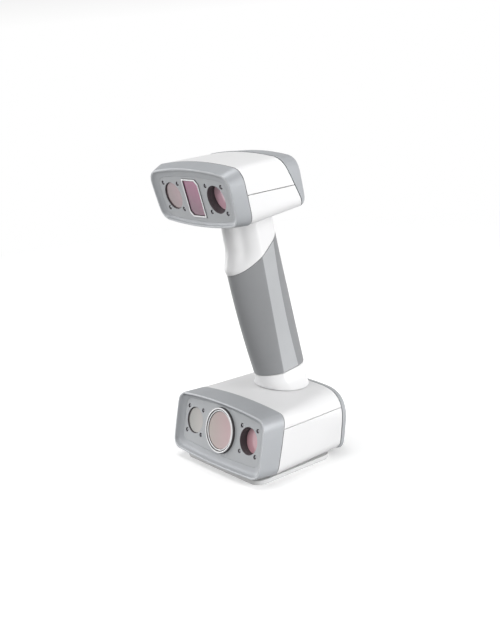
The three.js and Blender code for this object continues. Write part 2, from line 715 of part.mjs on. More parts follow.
function buildLowerOptics() {
  const group = groupAt(LOWER.rim);
  const { z, ringRadius, glassRadius, ringDepth, proud } = PROJECTOR;
  const ringHole = rod(ringRadius + CLEARANCE, 0, 20, 0, z, 40);
  const panel = lensPanel(LOWER_PANEL, LOWER_CAMERA, ringHole);
  addPart(group, "lower_lens_panel", panel, PANEL_GREY);
  addCameras(group, "lower", LOWER_PANEL, LOWER_CAMERA);
  const front = LOWER_PANEL.depth - proud;
  const trim = turned(
    [
      [glassRadius + CLEARANCE, front + 0.8],
      [glassRadius + 1.2, front],
      [glassRadius + 1.5, front + 0.5],
      [ringRadius - 0.8, front],
      [ringRadius, front + 0.7],
      [ringRadius, front + ringDepth],
      [glassRadius + CLEARANCE, front + ringDepth],
      [glassRadius + CLEARANCE, front + 0.8],
    ],
    0,
    z,
    40,
  );
  addPart(group, "projector_ring", trim, CHROME);
  addPart(group, "projector_window", rod(glassRadius, front + 1.2, front + 3, 0, z, 40), PINK_GLASS);
  const barrelFrom = front + PROJECTOR.ringDepth + CLEARANCE;
  const barrelTo = 25;
  const { lensRadius } = PROJECTOR;
  const lens = turned(
    [
      [0, barrelFrom + 3],
      [lensRadius - 3.5, barrelFrom + 3],
      [lensRadius - 1.5, barrelFrom],
      [lensRadius, barrelFrom],
      [lensRadius, barrelTo],
      [0, barrelTo],
    ],
    0,
    z,
  );
  addPart(group, "projector_lens", lens, BLACK);
  const engineFrom = barrelTo + CLEARANCE;
  const engine = join(
    box(38, 22, 18, 0, engineFrom + 11, z),
    box(20, 6, 10, 0, engineFrom + 24.5, z + 1),
  );
  addPart(group, "projector_engine", engine, BLACK);
  const lensHole = rod(lensRadius + CLEARANCE, 0, 40, 0, z);
  const bracket = opticsBracket(LOWER_CAMERA, 47.5, 16.5, 2, lensHole);
  addPart(group, "lower_optics_bracket", bracket, ALUMINIUM);
  addPart(group, "projector_heat_sink", heatSink(engineFrom + 28, z + 2.5), ALUMINIUM);
}

const HEAT_SINK = { width: 27, height: 16, base: 2.5, fin: 1.2, finDepth: 7, pitch: 4.2, sideFins: 3 };
function heatSink(from, z) {
  const { width, height, base, fin, finDepth, pitch, sideFins } = HEAT_SINK;
  const fins = [];
  for (let i = -sideFins; i <= sideFins; i++) {
    fins.push(box(fin, finDepth, height, i * pitch, from + base - 1 + finDepth / 2, z));
  }
  return join(box(width, base, height, 0, from + base / 2, z), ...fins);
}

// A square axial fan: a frame with a spider and an axle, and a rotor that spins on the axle along Y.
function buildFan() {
  const { y, z, size, depth, bore, blade, hub, blades } = FAN;
  const front = y - depth / 2;
  const back = y + depth / 2;
  const spoke = { width: 1.6, depth: 1.2, length: bore + 0.6 };
  const spokes = [0, 1, 2].map((i) => {
    const bar = box(spoke.width, spoke.depth, spoke.length, 0, 0, spoke.length / 2);
    return bar.rotateY((i * 2 * Math.PI) / 3).translate(0, back - spoke.depth / 2, z);
  });
  const block = plate(roundedRectangle(size / 2, size / 2, 2.5), front, back, 3).translate(0, 0, z);
  const frame = join(
    cut(block, rod(bore, front - 1, back + 1, 0, z)),
    ...spokes,
    rod(hub, back - 1.2, back, 0, z, 20),
    rod(1.5, front + 0.6, back - 0.5, 0, z, 12),
  );
  addPart(scanner, "fan_frame", frame, BLACK);
  const vanes = [];
  for (let i = 0; i < blades; i++) {
    const vane = box(1, 4.2, blade - hub + 1, 0, 0, (blade + hub - 1) / 2).rotateZ(0.6);
    vanes.push(vane.rotateY((i * 2 * Math.PI) / blades).translate(0, y - 0.7, z));
  }
  const core = turned(
    [[1.6, front + 0.5], [hub, front + 0.5], [hub, back - 1.8], [1.6, back - 1.8], [1.6, front + 0.5]],
    0,
    z,
    20,
  );
  addPart(scanner, "fan_rotor", join(core, ...vanes), BLACK);
}

const MAIN_BOARD = { width: 76, length: 32, y: 10, z: 7.8 };
function buildMainBoard() {
  const { width, length, y, z } = MAIN_BOARD;
  const board = box(width, length, BOARD_THICKNESS, 0, y, z);
  const chips = [
    box(14, 14, 1.6, -28, 12, 9.2),
    box(9, 12, 5, 27, 7, 10.8),
    box(9, 9, 1.4, 32, 20, 9),
  ];
  addPart(scanner, "main_board", join(board, ...chips), BOARD);
}

// ---------------------------------------------------------------- upper head
function buildUpperCasing() {
  const handleHole = loft(collarRings(-CLEARANCE, GRIP_TOP, raised(COLLAR_TOP, 6)));
  const fixings = [[-34, 0], [34, 0]];
  const under = UPPER.rearCrown - 1.3;
  addPart(scanner, "upper_top_shell", topShell(UPPER), WHITE);
  addPart(scanner, "upper_bottom_shell", bottomShell(UPPER, handleHole), WHITE);
  addPart(scanner, "upper_front_bezel", frontBezel(UPPER, UPPER_PANEL), GREY);
  addPart(scanner, "upper_rear_frame", cut(rearFrame(UPPER, fixings), handleHole), GREY);
  const rear = groupAt(UPPER.rearEdge);
  const { width, height, z } = LIGHT_GUIDE;
  const slot = box(width + 2 * CLEARANCE, 40, height + 2 * CLEARANCE, 0, 0, z);
  const holes = BUTTONS.map(({ x, radius }) => rod(radius + CLEARANCE, -20, 20, x, 0));
  const cover = rearCover(UPPER, slot, ...holes, ...screwHoles(fixings, under));
  addPart(rear, "upper_rear_cover", cover, GREY);
  addScrews(rear, "upper", fixings, under);
  const lit = join(
    box(width, UPPER.rearCrown + 0.1 + 3.2, height, 0, (UPPER.rearCrown + 0.1 - 3.2) / 2, z),
    box(width + 3, 1, height + 3, 0, -3.4, z),
  );
  addPart(rear, "status_light_guide", lit, LIGHT_PLASTIC);
  BUTTONS.forEach(({ name, x, radius }) => addPart(rear, name, button(x, radius), WHITE));
  addPart(rear, "control_board", controlBoard(), BOARD);
}

const BUTTON_FLANGE = { inside: 0.8, thickness: 0.9 }; // its outer face lies just under the cover
const STEM_END = -2;
const SWITCH_TOP = -3.2;
function button(x, radius) {
  const seat = UPPER.rearCrown - 2.4 - CLEARANCE;
  const top = UPPER.rearCrown + BUTTON_PROUD;
  const profile = [
    [0, STEM_END],
    [1.8, STEM_END],
    [1.8, seat - BUTTON_FLANGE.thickness],
    [radius + BUTTON_FLANGE.inside, seat - BUTTON_FLANGE.thickness],
    [radius + BUTTON_FLANGE.inside, seat],
    [radius, seat],
    [radius, top - 0.6],
    [radius - 0.6, top],
    [0, top - 0.3],
  ];
  return turned(profile, x, 0, 24);
}

const BOARD_THICKNESS = 1.6;
const CONTROL_BOARD = { width: 58, height: 24, y: -8 };
const SWITCH = { size: 6, depth: 3.2, y: -5.8, plunger: 1.7 };
function controlBoard() {
  const { width, height, y } = CONTROL_BOARD;
  const board = box(width, BOARD_THICKNESS, height, 0, y, 0);
  const switches = BUTTONS.map(({ x }) => {
    const can = box(SWITCH.size, SWITCH.depth, SWITCH.size, x, SWITCH.y, 0);
    return join(can, rod(SWITCH.plunger, SWITCH.y, SWITCH_TOP, x, 0, 12));
  });
  const connector = box(12, 3, 4, 18, y - 1.8, -7);
  return join(board, ...switches, connector);
}

function infraredOutline(grow) {
  const { x, z, halfWidth, halfHeight, chamfer } = INFRARED;
  const w = halfWidth + grow;
  const h = halfHeight + grow;
  const corners = [
    [-w, h],
    [w - chamfer, h],
    [w, h - chamfer],
    [w, -h],
    [-w + chamfer, -h],
    [-w, -h + chamfer],
  ];
  return new THREE.Shape(corners.map(([px, pz]) => new THREE.Vector2(px + x, pz + z)));
}

function buildUpperOptics() {
  const group = groupAt(UPPER.rim);
  const { x, trim } = INFRARED;
  const opening = plate(infraredOutline(CLEARANCE), 0, 20);
  addPart(group, "upper_lens_panel", lensPanel(UPPER_PANEL, UPPER_CAMERA, opening), PANEL_GREY);
  addCameras(group, "upper", UPPER_PANEL, UPPER_CAMERA);
  const front = UPPER_PANEL.depth - 0.7;
  const frame = cut(plate(infraredOutline(0), front, front + 6), plate(infraredOutline(-trim), 0, 20));
  addPart(group, "infrared_window_frame", frame, CHROME);
  const glass = plate(infraredOutline(-trim - CLEARANCE), front + 0.9, front + 2.5);
  addPart(group, "infrared_window", glass, MAGENTA_GLASS);
  const projector = join(
    box(20, 5, 25, x, front + 6 + CLEARANCE + 2.5, 0),
    rod(INFRARED.barrel, front + 9, 24, x, 0, 20),
    box(20, 12, 24, x, 30, 0),
  );
  addPart(group, "infrared_projector", projector, BLACK);
  const hole = rod(INFRARED.barrel + CLEARANCE, 0, 40, x, 0);
  const bracket = opticsBracket(UPPER_CAMERA, 41, 14.5, 0, hole);
  addPart(group, "upper_optics_bracket", bracket, ALUMINIUM);
}

// ---------------------------------------------------------------- handle
function buildHandle() {
  const gripRings = (inset) =>
    [0, 0.25, 0.5, 0.75, 1].map((t) => slantedRing(between(GRIP_BOTTOM, GRIP_TOP, t), inset));
  const gripWall = [...gripRings(0), ...gripRings(GRIP_THICKNESS).reverse()];
  addPart(scanner, "grip_sleeve", loft(gripWall, true), GRIP);

  const collarBase = raised(GRIP_TOP, CLEARANCE);
  const collarOuter = collarRings(0, collarBase, COLLAR_TOP);
  const collarInner = collarRings(GRIP_THICKNESS, collarBase, COLLAR_TOP, false);
  addPart(scanner, "upper_collar", loft([...collarOuter, ...collarInner.reverse()], true), WHITE);

  const footWall = [...lowerCollarRings(0), ...lowerCollarRings(GRIP_THICKNESS).reverse()];
  const foot = cut(loft(footWall, true), headBody(LOWER, -CLEARANCE));
  addPart(scanner, "lower_collar", foot, WHITE);

  const coreOuter = GRIP_THICKNESS + 2 * CLEARANCE;
  const heights = [70, 90, 110, 130, 148, 162, 176, CORE_TOP];
  const drawn = (z) => 3.2 * THREE.MathUtils.smoothstep(z, 140, 166);
  const skin = (inset) => [
    tenonRing(CORE_BOTTOM, inset),
    tenonRing(57, inset),
    ...heights.map((z) => handleSection(z, inset, drawn(z))),
  ];
  const tube = loft([...skin(coreOuter), ...skin(coreOuter + CORE_THICKNESS).reverse()], true);
  addPart(scanner, "handle_core", tube, BLACK);
}

// The cable bundle from the main board, up through the handle's core, to the control board.
function buildHarness() {
  const stops = [
    [27, 7, 13.9],
    [27, 9, 26],
    [18, 14, 37],
    [4, 20, 46],
    [0, 21, 60],
    [0, 15, 110],
    [0, 6, 160],
    [0, 2, 190],
    [0, 2, 206],
    [6, 6, 213],
  ];
  const path = new THREE.CatmullRomCurve3(stops.map((p) => new THREE.Vector3(...p)));
  const section = new THREE.Shape().absarc(0, 0, 2.6, 0, 2 * Math.PI);
  const settings = { extrudePath: path, steps: 40, curveSegments: 4, bevelEnabled: false };
  addPart(scanner, "wiring_harness", new THREE.ExtrudeGeometry(section, settings), HARNESS);
}

buildLowerCasing();
buildFoot();
buildLowerOptics();
buildFan();
buildMainBoard();
buildUpperCasing();
buildUpperOptics();
buildHandle();
buildHarness();

export default scanner;
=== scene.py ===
"""The looks of a handheld two-headed scanner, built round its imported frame.

Lengths are in millimetres, in the frame's own axes, and become metres where a mesh is made.
A ring is an array of points round a section. A piece is a skin through its rings, with the
edges rounded as moulded parts have them.
"""

import math

import bmesh
import bpy
import numpy as np
from mathutils import Matrix, Vector


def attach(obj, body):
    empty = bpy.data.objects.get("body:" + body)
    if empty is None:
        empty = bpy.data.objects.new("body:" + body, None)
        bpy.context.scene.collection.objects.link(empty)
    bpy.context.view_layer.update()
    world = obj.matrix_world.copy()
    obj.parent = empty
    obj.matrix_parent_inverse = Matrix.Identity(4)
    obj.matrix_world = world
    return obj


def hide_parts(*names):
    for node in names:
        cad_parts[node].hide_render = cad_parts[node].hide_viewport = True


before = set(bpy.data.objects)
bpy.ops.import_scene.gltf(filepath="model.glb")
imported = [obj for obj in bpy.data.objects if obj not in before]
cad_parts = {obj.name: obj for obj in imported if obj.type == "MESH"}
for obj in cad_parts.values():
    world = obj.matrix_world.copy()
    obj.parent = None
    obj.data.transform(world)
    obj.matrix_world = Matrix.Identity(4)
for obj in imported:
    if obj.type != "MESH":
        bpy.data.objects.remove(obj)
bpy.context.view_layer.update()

# ---------------- driving dimensions, as in the frame
MM = 0.001
GAP = 0.3
# The seams between casing pieces, and between a lens panel and its bezel.
SEAM = 0.45
PANEL_SEAM = 0.07
# How far the white casing stands back from the grey pieces at its ends.
SHELL_STEP = 0.15
WALL = 2.2
FRAME_WALL = 2.6
RIM_WIDTH = 1.2
# How far behind the rim the faces painted lighter reach, as a painted highlight.
RIM_DEPTH = 0.2
FUNNEL = {"across": 0.35, "down": 0.75}
PANEL_THICKNESS = 2.5
GRIP_THICKNESS = 2.6
# How squarely a face looks along an axis to count as the grip's flat, or as a casing's end.
FLAT_FACING = 0.995
END_FACING = 0.8
SHARP_ANGLE = 34
LONGEST_STEP = 3.0
BODY_STEP = 6.0
# How far the tools that cut right through a cover reach to each side.
THROUGH = 20


def section(y, z, pitch, top, bottom, half, crown, corner):
    return {
        "y": y, "z": z, "pitch": pitch, "top": top, "bottom": bottom, "half": half,
        "crown": crown, "corner": corner,
    }


UPPER_SHAPE = ((4.3, 0.6, 3.4), (9.7, 8.5))
UPPER = {
    "rim": section(-42, 209, 11.5, 50, 47.5, 18.2, *UPPER_SHAPE),
    "bezel_back": section(-32.3, 211, 10, 53.5, 52, 20, *UPPER_SHAPE),
    "frame_front": section(13.4, 214.6, 23, 46.7, 48.7, 19.8, *UPPER_SHAPE),
    "rear_edge": section(23, 213.8, 7, 45, 45.5, 17.6, *UPPER_SHAPE),
    "parting": 212.6,
    "rear_crown": 3.6,
}
LOWER_SHAPE = ((3.1, 0.5, 1.9), (8.2, 8.5))
LOWER_REAR_SHAPE = ((3.1, 0.5, 1.9), (22, 8.5))
LOWER = {
    "rim": section(-43.3, 29.2, -15, 55, 55, 22, *LOWER_SHAPE),
    "bezel_back": section(-24.4, 27.5, -16, 54.6, 54.5, 23, *LOWER_SHAPE),
    "frame_front": section(36.9, 27.7, -3.2, 56.4, 50.2, 23, *LOWER_REAR_SHAPE),
    "rear_edge": section(41.9, 25.8, -5, 54.4, 48.7, 22.9, *LOWER_REAR_SHAPE),
    "parting": 39.5,
    "rear_crown": 6.1,
}
UPPER_PANEL = section(0, 0, 0, 42, 41, 14.3, (2.6, 0.4, 2.4), (7, 7)) | {"depth": 2, "lift": -1.2}
LOWER_PANEL = section(0, 0, 0, 48, 48, 16, (3.4, 0.4, 1.8), (5.5, 5.5)) | {"depth": 3.7, "lift": 2}

WINDOW_RADIUS = 10.2
LED = {"x": 9.4, "z": 9.7, "radius": 1.2, "hole": 1.6, "sunk": 0.25, "dome": 0.9}
UPPER_CAMERA = (27, 0)
LOWER_CAMERA = (34.5, 3)
RECESS = 6
SHALLOW_RECESS = 1.1
BARREL = {"outer": 10.9, "bore": 10.1, "rear": 8.6, "shoulder": 13.5, "end": 21.5}
GLASS = 1.4
INFRARED = {"x": -0.5, "z": -0.4, "width": 9.9, "height": 14.3, "chamfer": 3.2, "trim": 1.1}
PROJECTOR = {"z": 3, "ring": 17.2, "glass": 14.2, "proud": 2.2}
FOOT = {"thickness": 2.7, "half_width": 47.6, "front": -44, "back": 30, "corner": 9}
BUTTONS = (("minus_button", -17.5, 5), ("scan_button", 0, 7.6), ("plus_button", 17.5, 5))
BUTTON_PROUD = 1.1
BUTTON_FLANGE = 0.8
BUTTON_STEM = 1.8
COVER_THICKNESS = 2.4
LIGHT_GUIDE = {"width": 30, "height": 2.4, "z": 10.6}
SCREW = {"shank": 1.5, "head": 2.7, "head_height": 1.5, "length": 10}
CROSS = {"half_length": 1.7, "half_width": 0.4, "deep": 0.7, "reach": 1.9, "dark_from": 0.15}
COUNTERSINK = 1.3
SOCKET = {"x": 30, "z": 1, "outer": 8.6, "bore": 6.3, "depth": 9}
# Each column of vent slots has its middle and half its width.
VENT = {"middle": 24.5, "rows": 8, "height": 1.8, "pitch": 3.5, "columns": ((0, 13), (-27, 5))}
LOWER_FIXINGS = ((-40, 12), (40, 12), (-37, -11), (37, -11))
UPPER_FIXINGS = ((-34, 0), (34, 0))

HANDLE = {
    "foot_y": 34, "lean": 0.1765, "half_width": 17.3, "nose": 22, "nose_swell": 3.2,
    "tail": 19.5, "tail_swell": 1, "nose_control": (10, 21.4), "tail_control_x": 15,
}
# The curve from the nose to a flank has this many steps, and stops short of its end.
FLANK_STEPS = 26
FLANK_END = 0.965
# The share of a side flat that the bend at each of its ends takes.
FLAT_BEND = 0.055
FLAT_FRONT = {"y": -6.6, "rise": 0.0655, "z": 110}
FLAT_BACK = {"y": 5.4, "bow": 0.00085, "z": 95}
PALM = {"z": 125, "reach": 60}
# Each end of a handle piece rises to the back: z, slope and bend.
GRIP_BOTTOM = (64.4, 0.14, 0)
GRIP_TOP = (157.2, 0.77, 0.0095)
COLLAR_TOP = (195, 0.14, 0)
COLLAR_FOOT = {"half_width": 28, "front": 18, "back": 17, "y": 23.5, "z": 52, "flare": 2.4}
TENON = {"y": 21.5, "low": 40, "high": 62, "width": 0.85, "depth": 0.72}
HOLLOW = {"share": 0.065, "place": 0.6, "reach": 0.16}
WAIST = {"depth": 3.2, "low": 0.08, "high": 0.42}
LIP = {"height": 1.4, "place": 0.07, "reach": 0.09}


# ---------------- curves and rings
def quadratic(a, b, c, steps):
    """Points along a quadratic curve. a, b and c are points, or rings of points."""
    return [(1 - t) ** 2 * a + 2 * t * (1 - t) * b + t**2 * c for t in np.linspace(0, 1, steps + 1)]


def outline(shape, inset=0.0, edge_steps=18, corner_steps=10):
    """A crowned trapezoid with rounded corners, drawn in x and z."""
    top, bottom, half = (shape[key] - inset for key in ("top", "bottom", "half"))
    corners = np.array([(-top, half), (top, half), (bottom, -half), (-bottom, -half)], float)
    crown_top, crown_side, crown_bottom = shape["crown"]
    crowns = (crown_top, crown_side, crown_bottom, crown_side)
    corner_top, corner_bottom = (max(r - inset, 1.5) for r in shape["corner"])
    radii = (corner_top, corner_top, corner_bottom, corner_bottom)
    lengths = [np.linalg.norm(corners[(i + 1) % 4] - corners[i]) for i in range(4)]

    def at(i, t):
        start, end = corners[i], corners[(i + 1) % 4]
        along = (end - start) / lengths[i]
        middle = (start + end) / 2 + 2 * crowns[i] * np.array((-along[1], along[0]))
        return (1 - t) ** 2 * start + 2 * t * (1 - t) * middle + t**2 * end

    points = []
    for i in range(4):
        j = (i + 1) % 4
        end = 1 - radii[j] / lengths[i]
        points += [at(i, t) for t in np.linspace(radii[i] / lengths[i], end, edge_steps + 1)]
        points += quadratic(at(i, end), corners[j], at(j, radii[j] / lengths[j]), corner_steps)[1:-1]
    return np.array(points) + (0, shape.get("lift", 0))


def put(spot, flat, depth=0.0):
    """Points drawn in a head's tilted plane, x and z, at a depth behind it, in the frame's axes."""
    turn = math.radians(spot["pitch"])
    cos, sin = math.cos(turn), math.sin(turn)
    x, z = flat[..., 0], flat[..., 1]
    depth = depth + np.zeros_like(x)
    return np.stack([x, spot["y"] + depth * cos - z * sin, spot["z"] + depth * sin + z * cos], -1)


def ring(shape, spot, inset=0.0, depth=0.0):
    return put(spot, outline(shape, inset), depth)


def station(head, key, inset=0.0, depth=0.0):
    return ring(head[key], head[key], inset, depth)


def soften(rings, radii, steps=4, cyclic=False):
    """Rounds the bend at each ring that has a radius."""
    made = []
    for k, (here, radius) in enumerate(zip(rings, radii, strict=True)):
        at_end = not cyclic and k in (0, len(rings) - 1)
        if radius <= 0 or at_end:
            made.append(here)
            continue
        ends = []
        for other in (rings[k - 1], rings[(k + 1) % len(rings)]):
            leg = other - here
            length = np.linalg.norm(leg, axis=-1, keepdims=True)
            ends.append(here + leg / np.maximum(length, 1e-9) * np.minimum(radius, 0.45 * length))
        made += quadratic(ends[0], here, ends[1], steps)
    return made


def spread(rings, longest, cyclic=False):
    """Adds rings between those that stand further apart than the longest step."""
    made = []
    last = len(rings) if cyclic else len(rings) - 1
    for k in range(last):
        here, there = rings[k], rings[(k + 1) % len(rings)]
        widest = np.linalg.norm(there - here, axis=-1).max()
        steps = max(1, math.ceil(widest / longest))
        made += [here + (there - here) * i / steps for i in range(steps)]
    return made if cyclic else [*made, rings[-1]]


# ---------------- solids as (points, faces)
def skin(rows, count, cyclic=False):
    """The faces between neighbouring rings."""
    faces = []
    for r in range(rows if cyclic else rows - 1):
        here, there = r * count, (r + 1) % rows * count
        for i in range(count):
            j = (i + 1) % count
            faces.append((here + i, there + i, there + j, here + j))
    return faces


def loft(rings, cyclic=False):
    """A skin through rings. One that isn't cyclic is capped by its first and last rings."""
    count = len(rings[0])
    faces = skin(len(rings), count, cyclic)
    if not cyclic:
        faces.append(tuple(range(count)))
        faces.append(tuple(range((len(rings) - 1) * count, len(rings) * count))[::-1])
    return np.concatenate(rings), faces


def merge(*solids):
    points, faces, offset = [], [], 0
    for some_points, some_faces in solids:
        points.append(some_points)
        faces += [tuple(i + offset for i in face) for face in some_faces]
        offset += len(some_points)
    return np.concatenate(points), faces


def drill(radius, x, z):
    """What cuts a round hole right through a cover."""
    return turned([(0, -THROUGH), (radius, -THROUGH), (radius, THROUGH), (0, THROUGH)], x, z)


def moved(solid, spot):
    """A solid drawn as x, depth and z in a head's plane, in the frame's axes."""
    points, faces = solid
    return put(spot, points[:, [0, 2]], points[:, 1]), faces


def rounded(profile, radii, steps=4):
    """A polyline with its bends rounded."""
    return np.array(soften([np.array(p, float) for p in profile], radii, steps))


def circle(radius, depth, x, z, sides):
    angle = np.linspace(0, 2 * math.pi, sides, endpoint=False)
    return np.stack([x + radius * np.cos(angle), np.full(sides, depth), z + radius * np.sin(angle)], -1)


def turned(profile, x, z, sides=64, cyclic=False):
    """A turned solid about an axis along the depth. The profile's pairs are radius and depth."""
    tiny = 0.02
    return loft([circle(max(radius, tiny), depth, x, z, sides) for radius, depth in profile], cyclic)


def disc(radius, front, back, x, z, edge=0.25, sides=64):
    profile = [(0, front), (radius, front), (radius, back), (0, back)]
    return turned(rounded(profile, (0, edge, edge, 0)), x, z, sides)


def hole(radius, front, back, x, z, edge, sides=64):
    """What cuts a round hole whose front edge is rounded."""
    turns = np.linspace(0, math.pi / 2, 5)
    bend = [(radius + edge - edge * math.sin(a), front + edge - edge * math.cos(a)) for a in turns]
    profile = [(0, front - 2), (radius + edge, front - 2), *bend, (radius, back), (0, back)]
    return turned(profile, x, z, sides)


def slab(flat, front, back, edge, steps=3):
    """A plate of a drawn outline, with its front and back edges rounded."""
    middle = flat.mean(0)
    arms = flat - middle
    reach = np.linalg.norm(arms, axis=1, keepdims=True)

    def layer(inset, depth):
        inner = middle + arms * (1 - inset / reach)
        return np.stack([inner[:, 0], np.full(len(flat), depth), inner[:, 1]], -1)

    turns = np.linspace(0, math.pi / 2, steps + 1)
    bend = [(edge - edge * math.sin(a), edge - edge * math.cos(a)) for a in turns]
    rings = [layer(inset, front + depth) for inset, depth in bend]
    rings += [layer(inset, back - depth) for inset, depth in reversed(bend)]
    return loft(rings)


def rectangle(half_width, half_height, radius, x=0.0, z=0.0, steps=6):
    """A rounded rectangle drawn in x and z."""
    points = []
    for quarter, (sx, sz) in enumerate(((1, 1), (-1, 1), (-1, -1), (1, -1))):
        centre = (x + sx * (half_width - radius), z + sz * (half_height - radius))
        for angle in np.linspace(quarter, quarter + 1, steps + 1) * math.pi / 2:
            points.append((centre[0] + radius * math.cos(angle), centre[1] + radius * math.sin(angle)))
    return np.array(points)


# ---------------- pieces
def mesh_of(name, solid):
    points, faces = solid
    mesh = bpy.data.meshes.new(name)
    mesh.from_pydata((points * MM).tolist(), [], faces)
    work = bmesh.new()
    work.from_mesh(mesh)
    bmesh.ops.remove_doubles(work, verts=work.verts, dist=1e-7)
    bmesh.ops.recalc_face_normals(work, faces=work.faces)
    work.to_mesh(mesh)
    work.free()
    return mesh


def new_object(name, solid):
    made = bpy.data.objects.new(name, mesh_of(name, solid))
    bpy.context.scene.collection.objects.link(made)
    return made


def carve(piece, tool_solid):
    """Cuts a solid, or several that stand apart, out of a piece."""
    tool = new_object("tool", tool_solid)
    modifier = piece.modifiers.new("carve", "BOOLEAN")
    modifier.operation = "DIFFERENCE"
    modifier.solver = "EXACT"
    modifier.object = tool
    bpy.context.view_layer.update()
    shaped = piece.evaluated_get(bpy.context.evaluated_depsgraph_get())
    mesh = bpy.data.meshes.new_from_object(shaped)
    piece.modifiers.clear()
    piece.data = mesh
    bpy.data.objects.remove(tool)


def show(name, solid, material, body="scanner_body", stands=True, cuts=()):
    """Makes a finished piece, which stands for the frame's node of its name unless stands is false."""
    piece = new_object(name + "_fine", solid)
    for tool in cuts:
        carve(piece, tool)
    mesh = piece.data
    mesh.shade_smooth()
    mesh.set_sharp_from_angle(angle=math.radians(SHARP_ANGLE))
    weighted = piece.modifiers.new("even_faces", "WEIGHTED_NORMAL")
    weighted.keep_sharp = True
    weighted.weight = 60
    mesh.materials.clear()
    mesh.materials.append(material)
    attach(piece, body)
    if stands:
        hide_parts(name)
    return piece


def tint(piece, material, chosen):
    """Gives a second material to the faces that are chosen."""
    piece.data.materials.append(material)
    for face in piece.data.polygons:
        if chosen(face):
            face.material_index = 1


def paint(piece, material, spot, chosen):
    """Gives a second material to the faces whose middle, in a head's tilted plane, is chosen."""
    turn = math.radians(spot["pitch"])
    cos, sin = math.cos(turn), math.sin(turn)

    def chosen_middle(face):
        x, y, z = (value / MM for value in face.center)
        y, z = y - spot["y"], z - spot["z"]
        return chosen((x, y * cos + z * sin, z * cos - y * sin))

    tint(piece, material, chosen_middle)


# ---------------- materials
# The least and the most roughness of a camera glass.
GLASS_GLOSS = (0.06, 0.11)


def noise(tree, coords, scale, detail, roughness=0.5):
    node = tree.nodes.new("ShaderNodeTexNoise")
    node.inputs["Scale"].default_value = scale
    node.inputs["Detail"].default_value = detail
    node.inputs["Roughness"].default_value = roughness
    tree.links.new(coords, node.inputs["Vector"])
    return node.outputs["Fac"]


def spanned(tree, value, low, high, start=0.3, end=0.7):
    node = tree.nodes.new("ShaderNodeMapRange")
    node.inputs["From Min"].default_value = start
    node.inputs["From Max"].default_value = end
    node.inputs["To Min"].default_value = low
    node.inputs["To Max"].default_value = high
    tree.links.new(value, node.inputs["Value"])
    return node.outputs["Result"]


def blended(tree, value, low, high):
    node = tree.nodes.new("ShaderNodeMix")
    node.data_type = "RGBA"
    tree.links.new(value, node.inputs["Factor"])
    node.inputs["A"].default_value = (*low, 1)
    node.inputs["B"].default_value = (*high, 1)
    return node.outputs["Result"]


def bumped(tree, value, distance):
    node = tree.nodes.new("ShaderNodeBump")
    node.inputs["Strength"].default_value = 1.0
    node.inputs["Distance"].default_value = distance * MM
    tree.links.new(value, node.inputs["Height"])
    return node.outputs["Normal"]


def bare(name):
    material = bpy.data.materials.new(name)
    material.use_nodes = True
    tree = material.node_tree
    coords = tree.nodes.new("ShaderNodeTexCoord").outputs["Object"]
    return material, tree, tree.nodes["Principled BSDF"], coords


def moulded(name, colour, rough, grain, height, shade=0.03, vary=0.05, metal=0.0, **sockets):
    """A moulded or painted surface: a fine grain, faint patches of shade and uneven gloss."""
    material, tree, shader, coords = bare(name)
    patches = spanned(tree, noise(tree, coords, 38.0, 4.0), 0, 1)
    dark = tuple(c * (1 - shade) for c in colour)
    light = tuple(min(1, c * (1 + shade)) for c in colour)
    tree.links.new(blended(tree, patches, dark, light), shader.inputs["Base Color"])
    smears = noise(tree, coords, 95.0, 5.0, 0.6)
    tree.links.new(spanned(tree, smears, rough - vary, rough + vary), shader.inputs["Roughness"])
    fine = noise(tree, coords, grain, 2.0)
    tree.links.new(bumped(tree, fine, height), shader.inputs["Normal"])
    shader.inputs["Metallic"].default_value = metal
    for key, value in sockets.items():
        shader.inputs[key.replace("_", " ")].default_value = value
    return material


def graded(name, low, high, direction, start, end):
    """Coated glass, painted lighter towards one side as a painted reflection on its coating, with faint wipe
    marks in its gloss.
    """
    material, tree, shader, coords = bare(name)
    dot = tree.nodes.new("ShaderNodeVectorMath")
    dot.operation = "DOT_PRODUCT"
    dot.inputs[1].default_value = direction
    tree.links.new(coords, dot.inputs[0])
    tint = spanned(tree, dot.outputs["Value"], 0, 1, start * MM, end * MM)
    tree.links.new(blended(tree, tint, low, high), shader.inputs["Base Color"])
    smears = noise(tree, coords, 160.0, 4.0)
    tree.links.new(spanned(tree, smears, *GLASS_GLOSS), shader.inputs["Roughness"])
    shader.inputs["Coat Weight"].default_value = 0.8
    shader.inputs["Coat Roughness"].default_value = 0.03
    return material


WHITE = moulded(
    "white_moulding", (0.78, 0.78, 0.785), 0.34,
    grain=900, height=0.002, shade=0.008, vary=0.03,
)
GREY = moulded(
    "grey_paint", (0.40, 0.414, 0.433), 0.41,
    grain=1600, height=0.003, metal=0.2, Specular_IOR_Level=0.35,
)
# A lighter grey painted on the rim's flat, as a painted highlight along it.
RIM_HIGHLIGHT = moulded(
    "rim_painted_highlight", (0.54, 0.555, 0.575), 0.34,
    grain=1600, height=0.003, metal=0.2, Specular_IOR_Level=0.4,
)
PANEL = moulded(
    "panel_paint", (0.46, 0.474, 0.49), 0.42,
    grain=1600, height=0.003, metal=0.1, Specular_IOR_Level=0.4,
)
RUBBER = moulded(
    "grip_rubber", (0.245, 0.251, 0.259), 0.60,
    grain=1500, height=0.02, shade=0.04, Sheen_Weight=0.15,
)
# The grip's side flats: glossier, and painted lighter as a painted sheen.
GRIP_FLAT_SHEEN = moulded("grip_flat_painted_sheen", (0.41, 0.42, 0.432), 0.38, grain=1500, height=0.006, shade=0.03)
FOOT_RUBBER = moulded("foot_rubber", (0.66, 0.66, 0.66), 0.8, grain=1300, height=0.03, shade=0.04)
